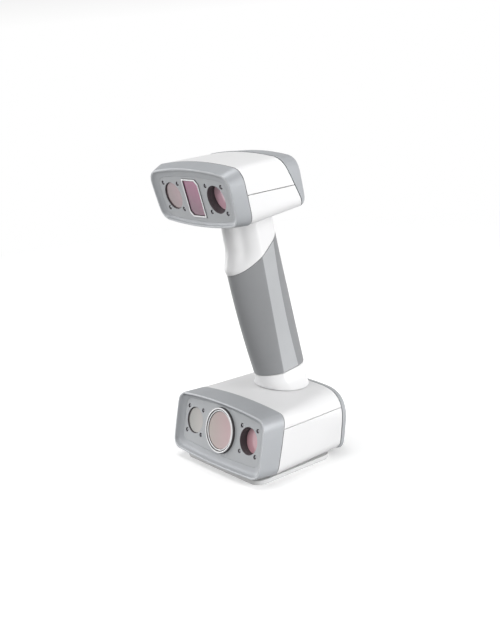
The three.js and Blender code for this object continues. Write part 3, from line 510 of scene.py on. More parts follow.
# Black plastic of the inner parts, also painted in the screws' cross recesses as painted shade.
BLACK = moulded("black_plastic", (0.018, 0.018, 0.02), 0.42, grain=2200, height=0.012, shade=0.1)
# Black of the lens barrels, also painted on seam ends, hole walls, the projector ring's groove and the
# infrared frame's walls as painted shade.
TUBE_BLACK_AND_SHADE = moulded("tube_black_and_painted_shade", (0.115, 0.105, 0.112), 0.42, grain=900, height=0.01, shade=0.1)
# Near-white with little metal, so the chrome trim's brightness is a painted reflection.
CHROME_PAINTED_REFLECTION = moulded(
    "chrome_trim", (0.95, 0.95, 0.96), 0.16,
    grain=700, height=0.001, metal=0.2, vary=0.03, shade=0.01,
)
STEEL = moulded("steel_screw", (0.36, 0.37, 0.38), 0.34, grain=1500, height=0.008, metal=1.0, shade=0.06)
ALUMINIUM = moulded(
    "aluminium_part", (0.48, 0.49, 0.5), 0.4,
    grain=1200, height=0.01, metal=1.0, shade=0.05,
)
BOARD = moulded("circuit_board", (0.012, 0.09, 0.045), 0.45, grain=500, height=0.03, shade=0.15)
LIGHT = moulded("light_guide", (0.72, 0.78, 0.8), 0.28, grain=1200, height=0.006, Subsurface_Weight=0.2)
CABLE = moulded("cable_jacket", (0.02, 0.02, 0.022), 0.5, grain=800, height=0.03, shade=0.1)
LED_LENS = moulded("led_lens", (0.30, 0.30, 0.32), 0.12, grain=600, height=0.001, metal=0.7, vary=0.04)
# Each glass is painted lighter towards one side, as a painted reflection.
UPPER_PINK = graded("upper_pink_glass", (0.86, 0.50, 0.60), (1.0, 0.66, 0.76), (0.5, 0, 1), 208, 228)
LOWER_PINK = graded("lower_pink_glass", (0.68, 0.37, 0.42), (0.88, 0.55, 0.61), (0.5, 0, 1), 36, 58)
ROSY = graded("rosy_glass", (0.37, 0.27, 0.28), (0.52, 0.34, 0.38), (1, 0, 0.3), 30, 48)
MILKY = graded("milky_glass", (0.40, 0.40, 0.38), (0.54, 0.51, 0.49), (1, 0, 0.3), -34, -17)
ROSE = graded("projector_glass", (0.47, 0.40, 0.37), (0.58, 0.39, 0.41), (1, 0, 0.2), -6, 20)
MAGENTA = graded("magenta_glass", (0.21, 0.062, 0.125), (0.45, 0.105, 0.25), (0.6, 0, 1), 198, 226)
WINDOW_GLASS = {
    "upper_left": ROSY, "upper_right": UPPER_PINK,
    "lower_left": MILKY, "lower_right": LOWER_PINK,
}


# ---------------- casings of a head
def arc(points, count):
    """A polyline resampled to evenly spaced points."""
    steps = np.linalg.norm(np.diff(points, axis=0), axis=1)
    along = np.concatenate([[0], np.cumsum(steps)])
    wanted = np.linspace(0, along[-1], count)
    return np.stack([np.interp(wanted, along, points[:, k]) for k in range(3)], -1)


def part_of(closed, level, above, count=150):
    """The part of a closed ring above or below a level, as an open run from one crossing to the other."""
    side = closed[:, 2] - level if above else level - closed[:, 2]
    start = int(np.argmin(side))
    closed, side = np.roll(closed, -start, 0), np.roll(side, -start)
    inside = np.flatnonzero(side > 0)
    first, last = inside[0], inside[-1]

    def crossing(i, j):
        share = side[i] / (side[i] - side[j])
        return closed[i] + (closed[j] - closed[i]) * share

    after = (last + 1) % len(closed)
    run = [crossing(first - 1, first), *closed[first:last + 1], crossing(last, after)]
    return arc(np.array(run), count)


def wall_section(outer, inner, radius=0.28):
    """The closed section of a wall between two runs, with its four corners rounded."""
    path = [*outer, *inner[::-1]]
    n = len(outer)
    rounding = [radius if i in (0, n - 1, n, 2 * n - 1) else 0 for i in range(2 * n)]
    return np.array(soften(path, rounding, 3, cyclic=True))


def sleeve_rows(head, steps=36, edge=0.3):
    """Rows of a casing from front to back, each an outer and an inner ring, with the end edges rounded."""
    def pair(extra, front_depth, back_depth, share):
        rings = []
        for inset in (SHELL_STEP + extra, WALL - extra * 0.5):
            start = station(head, "bezel_back", inset, SEAM + front_depth)
            end = station(head, "frame_front", inset, -SEAM - back_depth)
            rings.append(start + (end - start) * share)
        return rings

    turns = np.linspace(0, math.pi / 2, 4)
    bend = [(edge * (1 - math.sin(a)), edge * (1 - math.cos(a))) for a in turns]
    rows = [pair(extra, depth, 0, 0) for extra, depth in bend]
    rows += [pair(0, edge, edge, k / steps) for k in range(1, steps)]
    rows += [pair(extra, 0, depth, 1) for extra, depth in reversed(bend)]
    return rows


def show_half(name, head, above, cuts=()):
    """A half of a casing. Its end faces, which stand in the seams, are painted dark, as painted shade in the
    seams.
    """
    piece = show(name, half_casing(head, above), WHITE, cuts=cuts)
    tint(piece, TUBE_BLACK_AND_SHADE, lambda face: abs(face.normal.y) > END_FACING)


def half_casing(head, above):
    level = head["parting"] + (SEAM / 2 if above else -SEAM / 2)
    sections = []
    for outer, inner in sleeve_rows(head):
        sections.append(wall_section(part_of(outer, level, above), part_of(inner, level, above)))
    count = len(sections[0])
    faces = skin(len(sections), count)
    # The section starts at a rounded corner, so its two halves pair up across the wall.
    start = 3
    order = [(start + i) % count for i in range(count)]
    for row in (0, len(sections) - 1):
        base = row * count
        for i in range(count // 2 - 1):
            a, b = order[i], order[i + 1]
            c, d = order[count - 2 - i], order[count - 1 - i]
            quad = (base + a, base + b, base + c, base + d)
            faces.append(quad if row == 0 else quad[::-1])
    return np.concatenate(sections), faces


def funnel_ring(head, panel):
    """A ring between the rim and the lens panel, where most of the funnel's depth is reached."""
    rim = station(head, "rim", RIM_WIDTH, FUNNEL["down"] * panel["depth"])
    inner = ring(panel, head["rim"], -PANEL_SEAM, FUNNEL["down"] * panel["depth"])
    return rim + (inner - rim) * FUNNEL["across"]


def front_bezel(head, panel):
    pocket = panel["depth"] + PANEL_THICKNESS + 0.6
    rings = [
        station(head, "bezel_back"),
        station(head, "rim"),
        station(head, "rim", RIM_WIDTH),
        funnel_ring(head, panel),
        ring(panel, head["rim"], -PANEL_SEAM, panel["depth"]),
        ring(panel, head["rim"], -PANEL_SEAM, pocket),
        station(head, "bezel_back", WALL),
    ]
    bent = soften(rings, (0.3, 0.5, 0.3, 2.2, 0.12, 0, 0.3), 6, cyclic=True)
    return loft(spread(bent, LONGEST_STEP, cyclic=True), cyclic=True)


def show_bezel(name, head, panel):
    """A front bezel. The flat of its rim is painted lighter, a painted highlight for the bright line along
    it.
    """
    piece = show(name, front_bezel(head, panel), GREY)
    paint(piece, RIM_HIGHLIGHT, head["rim"], lambda point: point[1] < RIM_DEPTH)


def rear_frame(head):
    rings = [
        station(head, "frame_front"),
        station(head, "rear_edge"),
        station(head, "rear_edge", FRAME_WALL),
        station(head, "frame_front", FRAME_WALL),
    ]
    bent = soften(rings, (0.35, 1.1, 0.6, 0.3), 5, cyclic=True)
    return loft(spread(bent, LONGEST_STEP, cyclic=True), cyclic=True)


def head_body(head, inset=0.0):
    rings = [station(head, key, inset) for key in ("rim", "bezel_back", "frame_front", "rear_edge")]
    return loft(spread(rings, BODY_STEP))


def cover_profile(head):
    """The rear cover's inset and depth, from the middle of its inside to the middle of its outside."""
    edge = FRAME_WALL + GAP
    crown = head["rear_crown"]
    thick = COVER_THICKNESS
    return [
        (edge + 10.5, crown - thick), (edge + 5.5, 0.82 * crown - thick),
        (edge + thick, 0.2 * crown - thick),
        (edge + thick + 0.5, -1.2), (edge + 0.7, -1.2), (edge, 0.3), (edge + 1.2, 0.42 * crown),
        (edge + 4.5, 0.82 * crown), (edge + 9.5, crown),
    ]


def rear_cover(head):
    profile = rounded(cover_profile(head), (0, 3, 1.5, 0.4, 0.4, 0.5, 1.6, 3.4, 0), 6)
    shape = head["rear_edge"]
    rings = [put(shape, outline(shape, inset), depth) for inset, depth in profile]
    return loft(rings)


# ---------------- optics
def led_spots(x, z):
    return [(x + sx * LED["x"], z + sz * LED["z"]) for sx in (-1, 1) for sz in (-1, 1)]


def lens_panel(panel, camera, opening):
    """A lens panel's plate, and what cuts its holes."""
    front, back = panel["depth"], panel["depth"] + PANEL_THICKNESS
    cutters = [opening]
    for side in (-1, 1):
        x, z = side * camera[0], camera[1]
        cutters.append(hole(WINDOW_RADIUS, front, back + 1, x, z, 0.35))
        cutters += [hole(LED["hole"], front, back + 1, lx, lz, 0.25, 28) for lx, lz in led_spots(x, z)]
    return slab(outline(panel), front, back, 0.12), merge(*cutters)


def hole_walls(panel, camera):
    """Tells whether a point of a lens panel is on the wall of a window's hole or of a light's."""
    sides = [(side * camera[0], camera[1]) for side in (-1, 1)]
    circles = [(x, z, WINDOW_RADIUS + 0.2) for x, z in sides]
    circles += [(lx, lz, LED["hole"] + 0.15) for x, z in sides for lx, lz in led_spots(x, z)]

    def on_wall(point):
        x, depth, z = point
        inside = any(math.hypot(x - cx, z - cz) < r for cx, cz, r in circles)
        return inside and depth > panel["depth"] + 0.05

    return on_wall


def led_domes(panel, x, z):
    front, back = panel["depth"] + LED["sunk"], panel["depth"] + PANEL_THICKNESS + 1
    turns = np.linspace(0, math.pi / 2, 8)
    dome = [(LED["radius"] * math.sin(a), front + LED["dome"] * (1 - math.cos(a))) for a in turns]
    profile = [*dome, (LED["radius"], back), (0, back)]
    return merge(*(turned(profile, lx, lz, 28) for lx, lz in led_spots(x, z)))


def led_board(panel, x, z):
    front = panel["depth"] + PANEL_THICKNESS + GAP
    return slab(rectangle(12.6, 12.6, 3, x, z), front, front + 1.4, 0.15)


def tube(panel, x, z):
    """A lens barrel: a ribbed black tube in front of a solid shoulder."""
    front = panel["depth"] + PANEL_THICKNESS + GAP
    floor = panel["depth"] + RECESS + GLASS + 2 * GAP
    profile = [(0, floor), (BARREL["bore"], floor), (BARREL["bore"], front), (BARREL["outer"], front)]
    profile += [(BARREL["outer"], BARREL["shoulder"]), (BARREL["rear"], BARREL["shoulder"])]
    profile += [(BARREL["rear"], BARREL["end"]), (0, BARREL["end"])]
    return turned(rounded(profile, (0, 0, 0.2, 0.2, 0.3, 0.3, 0.3, 0)), x, z)


def add_camera(spot, prefix, panel, camera, side):
    recessed = side == "right"
    x, z = camera[0] if recessed else -camera[0], camera[1]
    front = panel["depth"] + (RECESS if recessed else SHALLOW_RECESS)
    radius = BARREL["bore"] - GAP if recessed else WINDOW_RADIUS - GAP
    name = f"{prefix}_{side}"
    glass = moved(disc(radius, front, front + GLASS, x, z), spot)
    show(f"{name}_window", glass, WINDOW_GLASS[name])
    bore = hole(BARREL["outer"] + GAP, 0, 20, x, z, 0.05)
    board = moved(led_board(panel, x, z), spot)
    show(f"{name}_led_board", board, BOARD, cuts=[moved(bore, spot)])
    lights = moved(led_domes(panel, x, z), spot)
    show(f"{name}_leds", lights, LED_LENS, stands=False)
    show(f"{name}_lens_barrel", moved(tube(panel, x, z), spot), TUBE_BLACK_AND_SHADE)


def add_panel(spot, prefix, panel, camera, opening):
    """A lens panel with an opening between its two cameras. The walls of its holes are painted dark, as
    painted shade.
    """
    plate, holes = lens_panel(panel, camera, opening)
    cuts = [moved(holes, spot)]
    made = show(f"{prefix}_lens_panel", moved(plate, spot), PANEL, cuts=cuts)
    paint(made, TUBE_BLACK_AND_SHADE, spot, hole_walls(panel, camera))
    for side in ("left", "right"):
        add_camera(spot, prefix, panel, camera, side)


# ---------------- lower head
def build_lower_casing():
    tenon = [tenon_ring(TENON[end]) for end in ("low", "high")]
    show_half("lower_top_shell", LOWER, True, cuts=[loft(tenon)])
    show_half("lower_bottom_shell", LOWER, False)
    show_bezel("lower_front_bezel", LOWER, LOWER_PANEL)
    foot = loft(lower_collar_rings(-GAP))
    show("lower_rear_frame", rear_frame(LOWER), GREY, cuts=[foot])


def vent_slots():
    slots = []
    middle = VENT["middle"] - LOWER["rear_edge"]["z"]
    for row in range(VENT["rows"]):
        z = middle + (row - (VENT["rows"] - 1) / 2) * VENT["pitch"]
        half = VENT["height"] / 2
        for x, half_width in VENT["columns"]:
            slots.append(slab(rectangle(half_width, half, half * 0.98, x, z), -20, 30, 0.01, 1))
    return slots


def build_lower_rear():
    spot = LOWER["rear_edge"]
    crown = LOWER["rear_crown"]
    under = crown - COUNTERSINK
    cuts = vent_slots()
    cuts.append(drill(SOCKET["outer"] + GAP, SOCKET["x"], SOCKET["z"]))
    cuts += [screw_hole(x, z, under) for x, z in LOWER_FIXINGS]
    show("lower_rear_cover", rear_cover(LOWER), GREY, cuts=[moved(merge(*cuts), spot)])
    add_screws("lower", LOWER_FIXINGS, spot, under)
    show("cable_socket", moved(cable_socket(), spot), BLACK)


def screw_hole(x, z, under):
    shank, head = SCREW["shank"] + GAP, SCREW["head"] + GAP
    seat = under - GAP
    return turned([(0, -10), (shank, -10), (shank, seat), (head, seat), (head, 12), (0, 12)], x, z, 40)


def screw(x, z, under):
    top, tip = under + SCREW["head_height"], under - SCREW["length"]
    shank, head = SCREW["shank"], SCREW["head"]
    profile = [(0, tip), (shank, tip), (shank, under), (head, under), (head, top), (0, top + 0.1)]
    return turned(rounded(profile, (0, 0.3, 0, 0.15, 0.5, 0)), x, z, 40)


def cross_recess(x, z, top):
    long, wide, floor = CROSS["half_length"], CROSS["half_width"], top - CROSS["deep"]
    return [slab(rectangle(long, wide, 0.15, x, z), floor, top + 2, 0.02, 1),
            slab(rectangle(wide, long, 0.15, x, z), floor - 0.05, top + 2.1, 0.02, 1)]


def add_screws(prefix, fixings, spot, under):
    """Screws in a rear cover. The cross in each head is painted dark, as painted shade in the recess."""
    top = under + SCREW["head_height"]
    for i, (x, z) in enumerate(fixings):
        cuts = [moved(arm, spot) for arm in cross_recess(x, z, top)]
        name = f"{prefix}_rear_screw_{i + 1}"
        made = show(name, moved(screw(x, z, under), spot), STEEL, cuts=cuts)

        def in_cross(point, x=x, z=z):
            near = math.hypot(point[0] - x, point[2] - z) < CROSS["reach"]
            return near and under < point[1] < top - CROSS["dark_from"]

        paint(made, BLACK, spot, in_cross)


def cable_socket():
    mouth = LOWER["rear_crown"] + 0.6
    floor = mouth - SOCKET["depth"]
    outer, bore = SOCKET["outer"], SOCKET["bore"]
    profile = [(0, floor - 2.5), (outer, floor - 2.5), (outer, -0.6), (outer + 1.6, -0.6), (outer + 1.6, 1),
               (outer, 1), (outer, mouth), (bore, mouth), (bore, floor), (0, floor)]
    body = turned(rounded(profile, (0, 0.3, 0, 0.2, 0.2, 0, 0.7, 0.5, 0.3, 0)), SOCKET["x"], SOCKET["z"])
    pins = []
    for i in range(6):
        angle = i * math.pi / 3
        x, z = SOCKET["x"] + 3.4 * math.cos(angle), SOCKET["z"] + 3.4 * math.sin(angle)
        pins.append(turned(rounded([(0, floor - 1), (0.6, floor - 1), (0.6, floor + 4.5), (0, floor + 4.5)],
                                   (0, 0, 0.3, 0)), x, z, 20))
    return merge(body, *pins)


def build_foot():
    flat = rectangle(FOOT["half_width"], (FOOT["back"] - FOOT["front"]) / 2, FOOT["corner"])
    middle = (FOOT["front"] + FOOT["back"]) / 2
    points, faces = slab(flat, 0, FOOT["thickness"] + 0.6, 0.5)
    points = np.stack([points[:, 0], points[:, 2] + middle, points[:, 1]], -1)
    show("foot_pad", (points, faces), FOOT_RUBBER, cuts=[head_body(LOWER, -GAP)])


def build_lower_optics():
    opening = hole(PROJECTOR["ring"] + GAP, LOWER_PANEL["depth"], 20, 0, PROJECTOR["z"], 0.3, 96)
    add_panel(LOWER["rim"], "lower", LOWER_PANEL, LOWER_CAMERA, opening)
    build_projector(LOWER["rim"], PROJECTOR["z"], LOWER_PANEL["depth"] - PROJECTOR["proud"])


def build_projector(spot, z, front):
    """The bright double ring and the glass inside it. The groove between the ring's lips, and its walls
    further back, are painted dark as painted shade.
    """
    inner, outer = PROJECTOR["glass"] + GAP, PROJECTOR["ring"]
    profile = [(inner, front + 0.9), (inner + 0.2, front + 0.5), (inner + 0.8, front + 0.5),
               (inner + 0.95, front + 1.3), (inner + 1.45, front + 1.3), (inner + 1.6, front),
               (outer - 0.1, front), (outer, front + 0.25), (outer, front + 8), (inner, front + 8)]
    bends = (0.15, 0.2, 0.15, 0.1, 0.1, 0.15, 0.15, 0.15, 0.2, 0.2)
    trim = turned(soften([np.array(p, float) for p in profile], bends, 3, cyclic=True), 0, z, 96, True)
    made = show("projector_ring", moved(trim, spot), CHROME_PAINTED_REFLECTION)

    def in_groove(point):
        radius = math.hypot(point[0], point[2] - z)
        between_lips = inner + 0.85 < radius < inner + 1.55
        return point[1] > front + (0.2 if between_lips else 0.95)

    paint(made, TUBE_BLACK_AND_SHADE, spot, in_groove)
    glass = disc(PROJECTOR["glass"], front + 1.2, front + 3, 0, z, 0.3, 96)
    show("projector_window", moved(glass, spot), ROSE)


# ---------------- upper head
def build_upper_casing():
    collar = loft(collar_rings(-GAP, raised(GRIP_TOP, GAP), raised(COLLAR_TOP, 6)))
    show_half("upper_top_shell", UPPER, True)
    show_half("upper_bottom_shell", UPPER, False, cuts=[collar])
    show_bezel("upper_front_bezel", UPPER, UPPER_PANEL)
    show("upper_rear_frame", rear_frame(UPPER), GREY, cuts=[collar])


def build_upper_rear():
    spot = UPPER["rear_edge"]
    crown = UPPER["rear_crown"]
    under = crown - COUNTERSINK
    width, height, z = LIGHT_GUIDE["width"], LIGHT_GUIDE["height"], LIGHT_GUIDE["z"]
    opening = rectangle(width / 2 + GAP, height / 2 + GAP, 1.1, 0, z)
    cuts = [slab(opening, -THROUGH, THROUGH, 0.01, 1)]
    cuts += [drill(radius + GAP, x, 0) for _, x, radius in BUTTONS]
    cuts += [screw_hole(sx, sz, under) for sx, sz in UPPER_FIXINGS]
    show("upper_rear_cover", rear_cover(UPPER), GREY, cuts=[moved(merge(*cuts), spot)])
    add_screws("upper", UPPER_FIXINGS, spot, under)
    lit = slab(rectangle(width / 2, height / 2, 0.9, 0, z), -3.2, crown + 0.1, 0.35)
    flange = slab(rectangle(width / 2 + 1.5, height / 2 + 1.5, 1.5, 0, z), -3.9, -2.9, 0.2)
    show("status_light_guide", moved(merge(lit, flange), spot), LIGHT)
    for name, x, radius in BUTTONS:
        show(name, moved(button(x, radius), spot), WHITE, body=name)


def button(x, radius):
    """A button with a dished top, a flange under the cover and a stem."""
    seat = UPPER["rear_crown"] - COVER_THICKNESS - GAP
    top = UPPER["rear_crown"] + BUTTON_PROUD
    flange, stem = radius + BUTTON_FLANGE, BUTTON_STEM
    profile = [(0, -2), (stem, -2), (stem, seat - 0.9), (flange, seat - 0.9), (flange, seat), (radius, seat),
               (radius, top), (radius - 1.4, top - 0.1), (radius * 0.4, top - 0.4), (0, top - 0.45)]
    return turned(rounded(profile, (0, 0.2, 0, 0.2, 0.2, 0, 0.7, 0.5, 1.0, 0)), x, 0)


def infrared_outline(grow):
    width, height = INFRARED["width"] + grow, INFRARED["height"] + grow
    cut, x, z = INFRARED["chamfer"], INFRARED["x"], INFRARED["z"]
    corners = [(-width, height), (width - cut, height), (width, height - cut), (width, -height),
               (-width + cut, -height), (-width, -height + cut)]
    points = [np.array((px + x, pz + z)) for px, pz in corners]
    return np.array(soften(points, [0.9] * 6, 4, cyclic=True))


def build_upper_optics():
    spot = UPPER["rim"]
    front = UPPER_PANEL["depth"] - 0.7
    opening = slab(infrared_outline(GAP), -2, 20, 0.01, 1)
    add_panel(spot, "upper", UPPER_PANEL, UPPER_CAMERA, opening)

    def lay(grow, depth):
        flat = infrared_outline(grow)
        return np.stack([flat[:, 0], np.full(len(flat), depth), flat[:, 1]], -1)

    inner = -INFRARED["trim"]
    rings = [lay(0, front + 6), lay(0, front), lay(inner, front), lay(inner, front + 6)]
    bent = soften(rings, (0.2, 0.4, 0.35, 0.2), 4, cyclic=True)
    trim = show("infrared_window_frame", moved(loft(bent, cyclic=True), spot), CHROME_PAINTED_REFLECTION)
    # The frame's walls behind its face are painted dark, as painted shade.
    paint(trim, TUBE_BLACK_AND_SHADE, spot, lambda point: point[1] > front + 0.35)
    glass = slab(infrared_outline(inner - GAP), front + 0.9, front + 2.5, 0.2)
    show("infrared_window", moved(glass, spot), MAGENTA)


# ---------------- handle
def section_weights():
    """Each point of the handle's section as weights of six control points, from nose to tail."""
    flank, bend, flat = FLANK_STEPS, 4, 6
    cut, share = 1 - FLANK_END, FLAT_BEND

    def curve(t, a, b, c):
        row = np.zeros(6)
        row[a], row[b], row[c] = (1 - t) ** 2, 2 * t * (1 - t), t**2
        return row

    front, back = np.eye(6)[2], np.eye(6)[3]
    nose = [curve(t, 0, 1, 2) for t in np.linspace(0, 1 - cut, flank + 1)]
    flat_start, flat_end = front + (back - front) * share, back + (front - back) * share
    tail = [curve(t, 3, 4, 5) for t in np.linspace(cut, 1, flank + 1)]
    rows = nose + quadratic(nose[-1], front, flat_start, bend)[1:]
    rows += [flat_start + (flat_end - flat_start) * t for t in np.linspace(0, 1, flat + 1)[1:]]
    rows += quadratic(flat_end, back, tail[0], bend)[1:] + tail[1:]
    right = np.array(rows)
    left = right[::-1][1:-1]
    sign = np.concatenate([np.ones(len(right)), -np.ones(len(left))])
    return np.concatenate([right, left]), sign


WEIGHTS, SIGN = section_weights()


def handle_axis(z):
    return HANDLE["foot_y"] - HANDLE["lean"] * z


def handle_points(z, inset=0.0, drawn=0.0):
    """The handle's section at a height, or with a height for each of its points."""
    z = np.broadcast_to(np.asarray(z, float), SIGN.shape)
    palm = np.maximum(0, 1 - ((z - PALM["z"]) / PALM["reach"]) ** 2)
    width = np.full_like(z, HANDLE["half_width"] - inset)
    nose = HANDLE["nose"] + HANDLE["nose_swell"] * palm - inset - drawn
    tail = HANDLE["tail"] + HANDLE["tail_swell"] * palm - inset
    scale = width / HANDLE["half_width"]
    front = FLAT_FRONT["y"] + FLAT_FRONT["rise"] * (z - FLAT_FRONT["z"])
    back = np.minimum(FLAT_BACK["y"] + FLAT_BACK["bow"] * (z - FLAT_BACK["z"]) ** 2, tail - 3)
    zero = np.zeros_like(z)
    control_x, control_y = HANDLE["nose_control"]
    xs = np.stack([zero, control_x * scale, width, width, HANDLE["tail_control_x"] * scale, zero], -1)
    ys = np.stack([-nose, -nose * control_y / HANDLE["nose"], front, back, tail, tail], -1)
    return np.stack([SIGN * (WEIGHTS * xs).sum(-1), handle_axis(z) + (WEIGHTS * ys).sum(-1), z], -1)


def raised(rise, by):
    return (rise[0] + by, *rise[1:])


def between(a, b, t):
    return tuple(p + (q - p) * t for p, q in zip(a, b, strict=True))


def slanted(rise, inset=0.0, drawn=0.0):
    """Where the handle's skin meets a surface that rises to the back."""
    points = handle_points(rise[0], inset, drawn)
    for _ in range(14):
        y = points[:, 1]
        points = handle_points(rise[0] + rise[1] * y + rise[2] * y**2, inset, drawn)
    return points


def smoothstep(t, low, high):
    t = min(1, max(0, (t - low) / (high - low)))
    return t * t * (3 - 2 * t)


def collar_waist(t):
    """How far the front of the upper collar draws in above the lip at its foot."""
    lip = LIP["height"] * math.exp(-(((t - LIP["place"]) / LIP["reach"]) ** 2))
    return WAIST["depth"] * smoothstep(t, WAIST["low"], WAIST["high"]) - lip


def hollowed(points, t):
    """Draws in each flank of the collar beside its nose."""
    step = np.arange(len(points))
    place = np.minimum(step, len(points) - step) / FLANK_STEPS * FLANK_END
    away = (place - HOLLOW["place"]) / HOLLOW["reach"]
    share = 1 - HOLLOW["share"] * np.exp(-(away**2)) * smoothstep(t, 0.03, 0.3)
    axis = handle_axis(points[:, 2])
    return np.stack([points[:, 0] * share, axis + (points[:, 1] - axis) * share, points[:, 2]], -1)


def collar_rings(inset, low, high, hollow=True, steps=40):
    rings = []
    for t in np.linspace(0, 1, steps + 1):
        points = slanted(between(low, high, t), inset, collar_waist(t))
        rings.append(hollowed(points, t) if hollow else points)
    return rings


def lower_collar_rings(inset, steps=24):
    grip = slanted(raised(GRIP_BOTTOM, -GAP), inset)
    z = COLLAR_FOOT["z"]
    level = handle_points(z, inset)
    x = level[:, 0] / HANDLE["half_width"]
    y = (level[:, 1] - handle_axis(z)) / HANDLE["nose"]
    scale = 1 / np.maximum(np.hypot(x, y), 0.2)
    reach = np.where(y < 0, COLLAR_FOOT["front"], COLLAR_FOOT["back"])
    foot = np.stack([
        x * scale * (COLLAR_FOOT["half_width"] - inset),
        COLLAR_FOOT["y"] + y * scale * (reach - inset),
        np.full_like(x, z),
    ], -1)
    rings = []
    for t in np.linspace(0, 1, steps + 1):
        flare = t ** COLLAR_FOOT["flare"]
        share = np.array([flare, 0.55 * flare + 0.45 * t, t])
        rings.append(grip + (foot - grip) * share)
    return rings


def tenon_ring(z):
    """The handle core's outline where it drops into the lower head, with room round it."""
    points = handle_points(z, GRIP_THICKNESS)
    points[:, 0] *= TENON["width"]
    points[:, 1] = TENON["y"] + TENON["depth"] * (points[:, 1] - handle_axis(z))
    return points


def sleeve(outer, inner, edge, steps, both=False):
    """A tube between outer and inner rings, rounded at its first edge or at both of its edges."""
    rings = [*outer, *inner[::-1]]
    ends = {0, len(rings) - 1}
    if both:
        ends |= {len(outer) - 1, len(outer)}
    bends = [edge if i in ends else 0 for i in range(len(rings))]
    return loft(soften(rings, bends, steps, cyclic=True), cyclic=True)


def grip_rings(inset):
    return [slanted(between(GRIP_BOTTOM, GRIP_TOP, t), inset) for t in np.linspace(0, 1, 40)]


def build_handle():
    """The grip, whose side flats are glossier and painted lighter as a painted sheen, and the collars above
    and below it.
    """
    wall = sleeve(grip_rings(0), grip_rings(GRIP_THICKNESS), 0.45, 4, both=True)
    grip = show("grip_sleeve", wall, RUBBER)
    tint(grip, GRIP_FLAT_SHEEN, lambda face: abs(face.normal.x) > FLAT_FACING)

    ends = (raised(GRIP_TOP, GAP), COLLAR_TOP)
    wall = sleeve(collar_rings(0, *ends), collar_rings(GRIP_THICKNESS, *ends, False), 0.4, 3)
    show("upper_collar", wall, WHITE)

    wall = sleeve(lower_collar_rings(0), lower_collar_rings(GRIP_THICKNESS), 0.4, 3)
    show("lower_collar", wall, WHITE, cuts=[head_body(LOWER, -GAP)])


# ---------------- inner pieces kept from the frame
INNER_LOOKS = {
    "fan_frame": BLACK, "fan_rotor": BLACK, "main_board": BOARD, "control_board": BOARD,
    "projector_lens": BLACK, "projector_engine": BLACK, "projector_heat_sink": ALUMINIUM,
    "infrared_projector": BLACK, "handle_core": BLACK, "wiring_harness": CABLE,
    "lower_optics_bracket": ALUMINIUM, "upper_optics_bracket": ALUMINIUM,
    "lower_left_camera": ALUMINIUM, "lower_right_camera": ALUMINIUM,
    "upper_left_camera": ALUMINIUM, "upper_right_camera": ALUMINIUM,
}


def dress_inner_pieces():
    for name, look in INNER_LOOKS.items():
        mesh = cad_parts[name].data
        mesh.materials.clear()
        mesh.materials.append(look)


# ---------------- studio
CAMERA_AT = (601.9, -441.8, 307.6)
CAMERA_RIGHT = (0.6077, 0.7886, -0.0939)
CAMERA_UP = (-0.1456, 0.2268, 0.963)
SENSOR = 36
FOCAL = 1012.83 / 631 * SENSOR
SKY = 0.44
HORIZON = 1.0
BELOW = 0.15
FLOOR_GLOW = 0.25
FLOOR_SIDE = 14
LIGHTS_AIM = (0, 0, 0.12)


def add_camera_view():
    data = bpy.data.cameras.new("camera")
    data.lens = FOCAL
    data.sensor_width = SENSOR
    data.clip_start, data.clip_end = 0.01, 50
    made = bpy.data.objects.new("camera", data)
    right = Vector(CAMERA_RIGHT).normalized()
    back = right.cross(Vector(CAMERA_UP)).normalized()
    up = back.cross(right)
    turn = Matrix((right, up, back)).transposed()
    made.matrix_world = Matrix.Translation(Vector(CAMERA_AT) * MM) @ turn.to_4x4()
    bpy.context.scene.collection.objects.link(made)
    bpy.context.scene.camera = made


def add_softbox(name, at, width, height, power):
    data = bpy.data.lights.new(name, "AREA")
    data.shape = "RECTANGLE"
    data.size, data.size_y = width, height
    data.energy = power
    made = bpy.data.objects.new(name, data)
    made.location = at
    direction = Vector(LIGHTS_AIM) - Vector(at)
    made.rotation_mode = "QUATERNION"
    made.rotation_quaternion = direction.to_track_quat("-Z", "Y")
    bpy.context.scene.collection.objects.link(made)


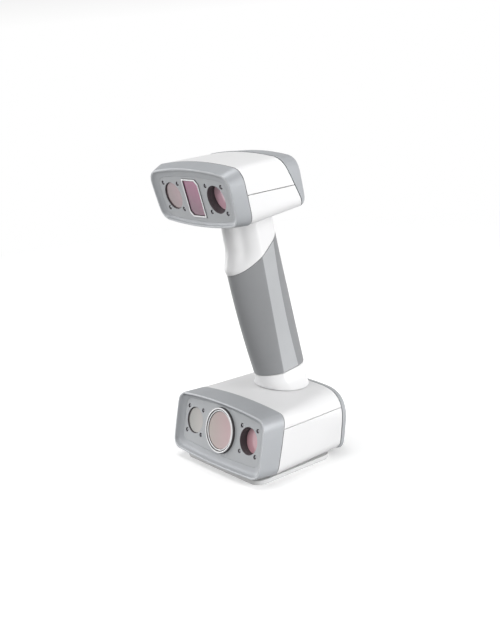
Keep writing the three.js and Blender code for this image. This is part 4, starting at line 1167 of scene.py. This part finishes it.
def add_room():
    """A pale floor that fades into a white horizon, under a dimmer sky."""
    world = bpy.data.worlds.new("room")
    world.use_nodes = True
    tree = world.node_tree
    split = tree.nodes.new("ShaderNodeSeparateXYZ")
    tree.links.new(tree.nodes.new("ShaderNodeTexCoord").outputs["Generated"], split.inputs[0])
    above = spanned(tree, split.outputs["Z"], HORIZON, SKY, 0.04, 0.2)
    below = spanned(tree, split.outputs["Z"], BELOW, HORIZON, -0.1, -0.06)
    strength = tree.nodes.new("ShaderNodeMath")
    strength.operation = "MINIMUM"
    tree.links.new(above, strength.inputs[0])
    tree.links.new(below, strength.inputs[1])
    tree.links.new(strength.outputs[0], tree.nodes["Background"].inputs["Strength"])
    tree.nodes["Background"].inputs["Color"].default_value = (1, 1, 1, 1)
    bpy.context.scene.world = world
    bpy.context.scene.view_settings.view_transform = "Standard"
    floor = bpy.data.objects.new("floor", bpy.data.meshes.new("floor"))
    corners = [(sx * FLOOR_SIDE, sy * FLOOR_SIDE, 0) for sx, sy in ((-1, -1), (1, -1), (1, 1), (-1, 1))]
    floor.data.from_pydata(corners, [], [(0, 1, 2, 3)])
    floor.data.materials.append(floor_paper())
    floor.visible_diffuse = False
    bpy.context.scene.collection.objects.link(floor)


def floor_paper():
    """Matt white paper near the object that turns into even white light further out."""
    material, tree, shader, coords = bare("floor_paper")
    shader.inputs["Base Color"].default_value = (0.88, 0.88, 0.88, 1)
    shader.inputs["Roughness"].default_value = 0.9
    shader.inputs["Emission Color"].default_value = (1, 1, 1, 1)
    shader.inputs["Emission Strength"].default_value = FLOOR_GLOW
    length = tree.nodes.new("ShaderNodeVectorMath")
    length.operation = "LENGTH"
    tree.links.new(coords, length.inputs[0])
    far = spanned(tree, length.outputs["Value"], 0, 1, 0.3, 1.1)
    glow = tree.nodes.new("ShaderNodeEmission")
    mix = tree.nodes.new("ShaderNodeMixShader")
    tree.links.new(far, mix.inputs[0])
    tree.links.new(shader.outputs[0], mix.inputs[1])
    tree.links.new(glow.outputs[0], mix.inputs[2])
    tree.links.new(mix.outputs[0], tree.nodes["Material Output"].inputs["Surface"])
    return material


def add_lights():
    add_softbox("key", (1.55, 0.42, 0.34), 1.1, 1.4, 32)
    add_softbox("front", (-0.6, -1.5, 1.1), 0.8, 1.0, 9)
    add_softbox("top", (-0.2, -0.1, 1.8), 0.8, 0.8, 9)
    add_softbox("fill", (-1.5, -0.5, 0.5), 0.9, 1.2, 10)


build_lower_casing()
build_lower_rear()
build_foot()
build_lower_optics()
build_upper_casing()
build_upper_rear()
build_upper_optics()
build_handle()
dress_inner_pieces()
add_room()
add_lights()
add_camera_view()
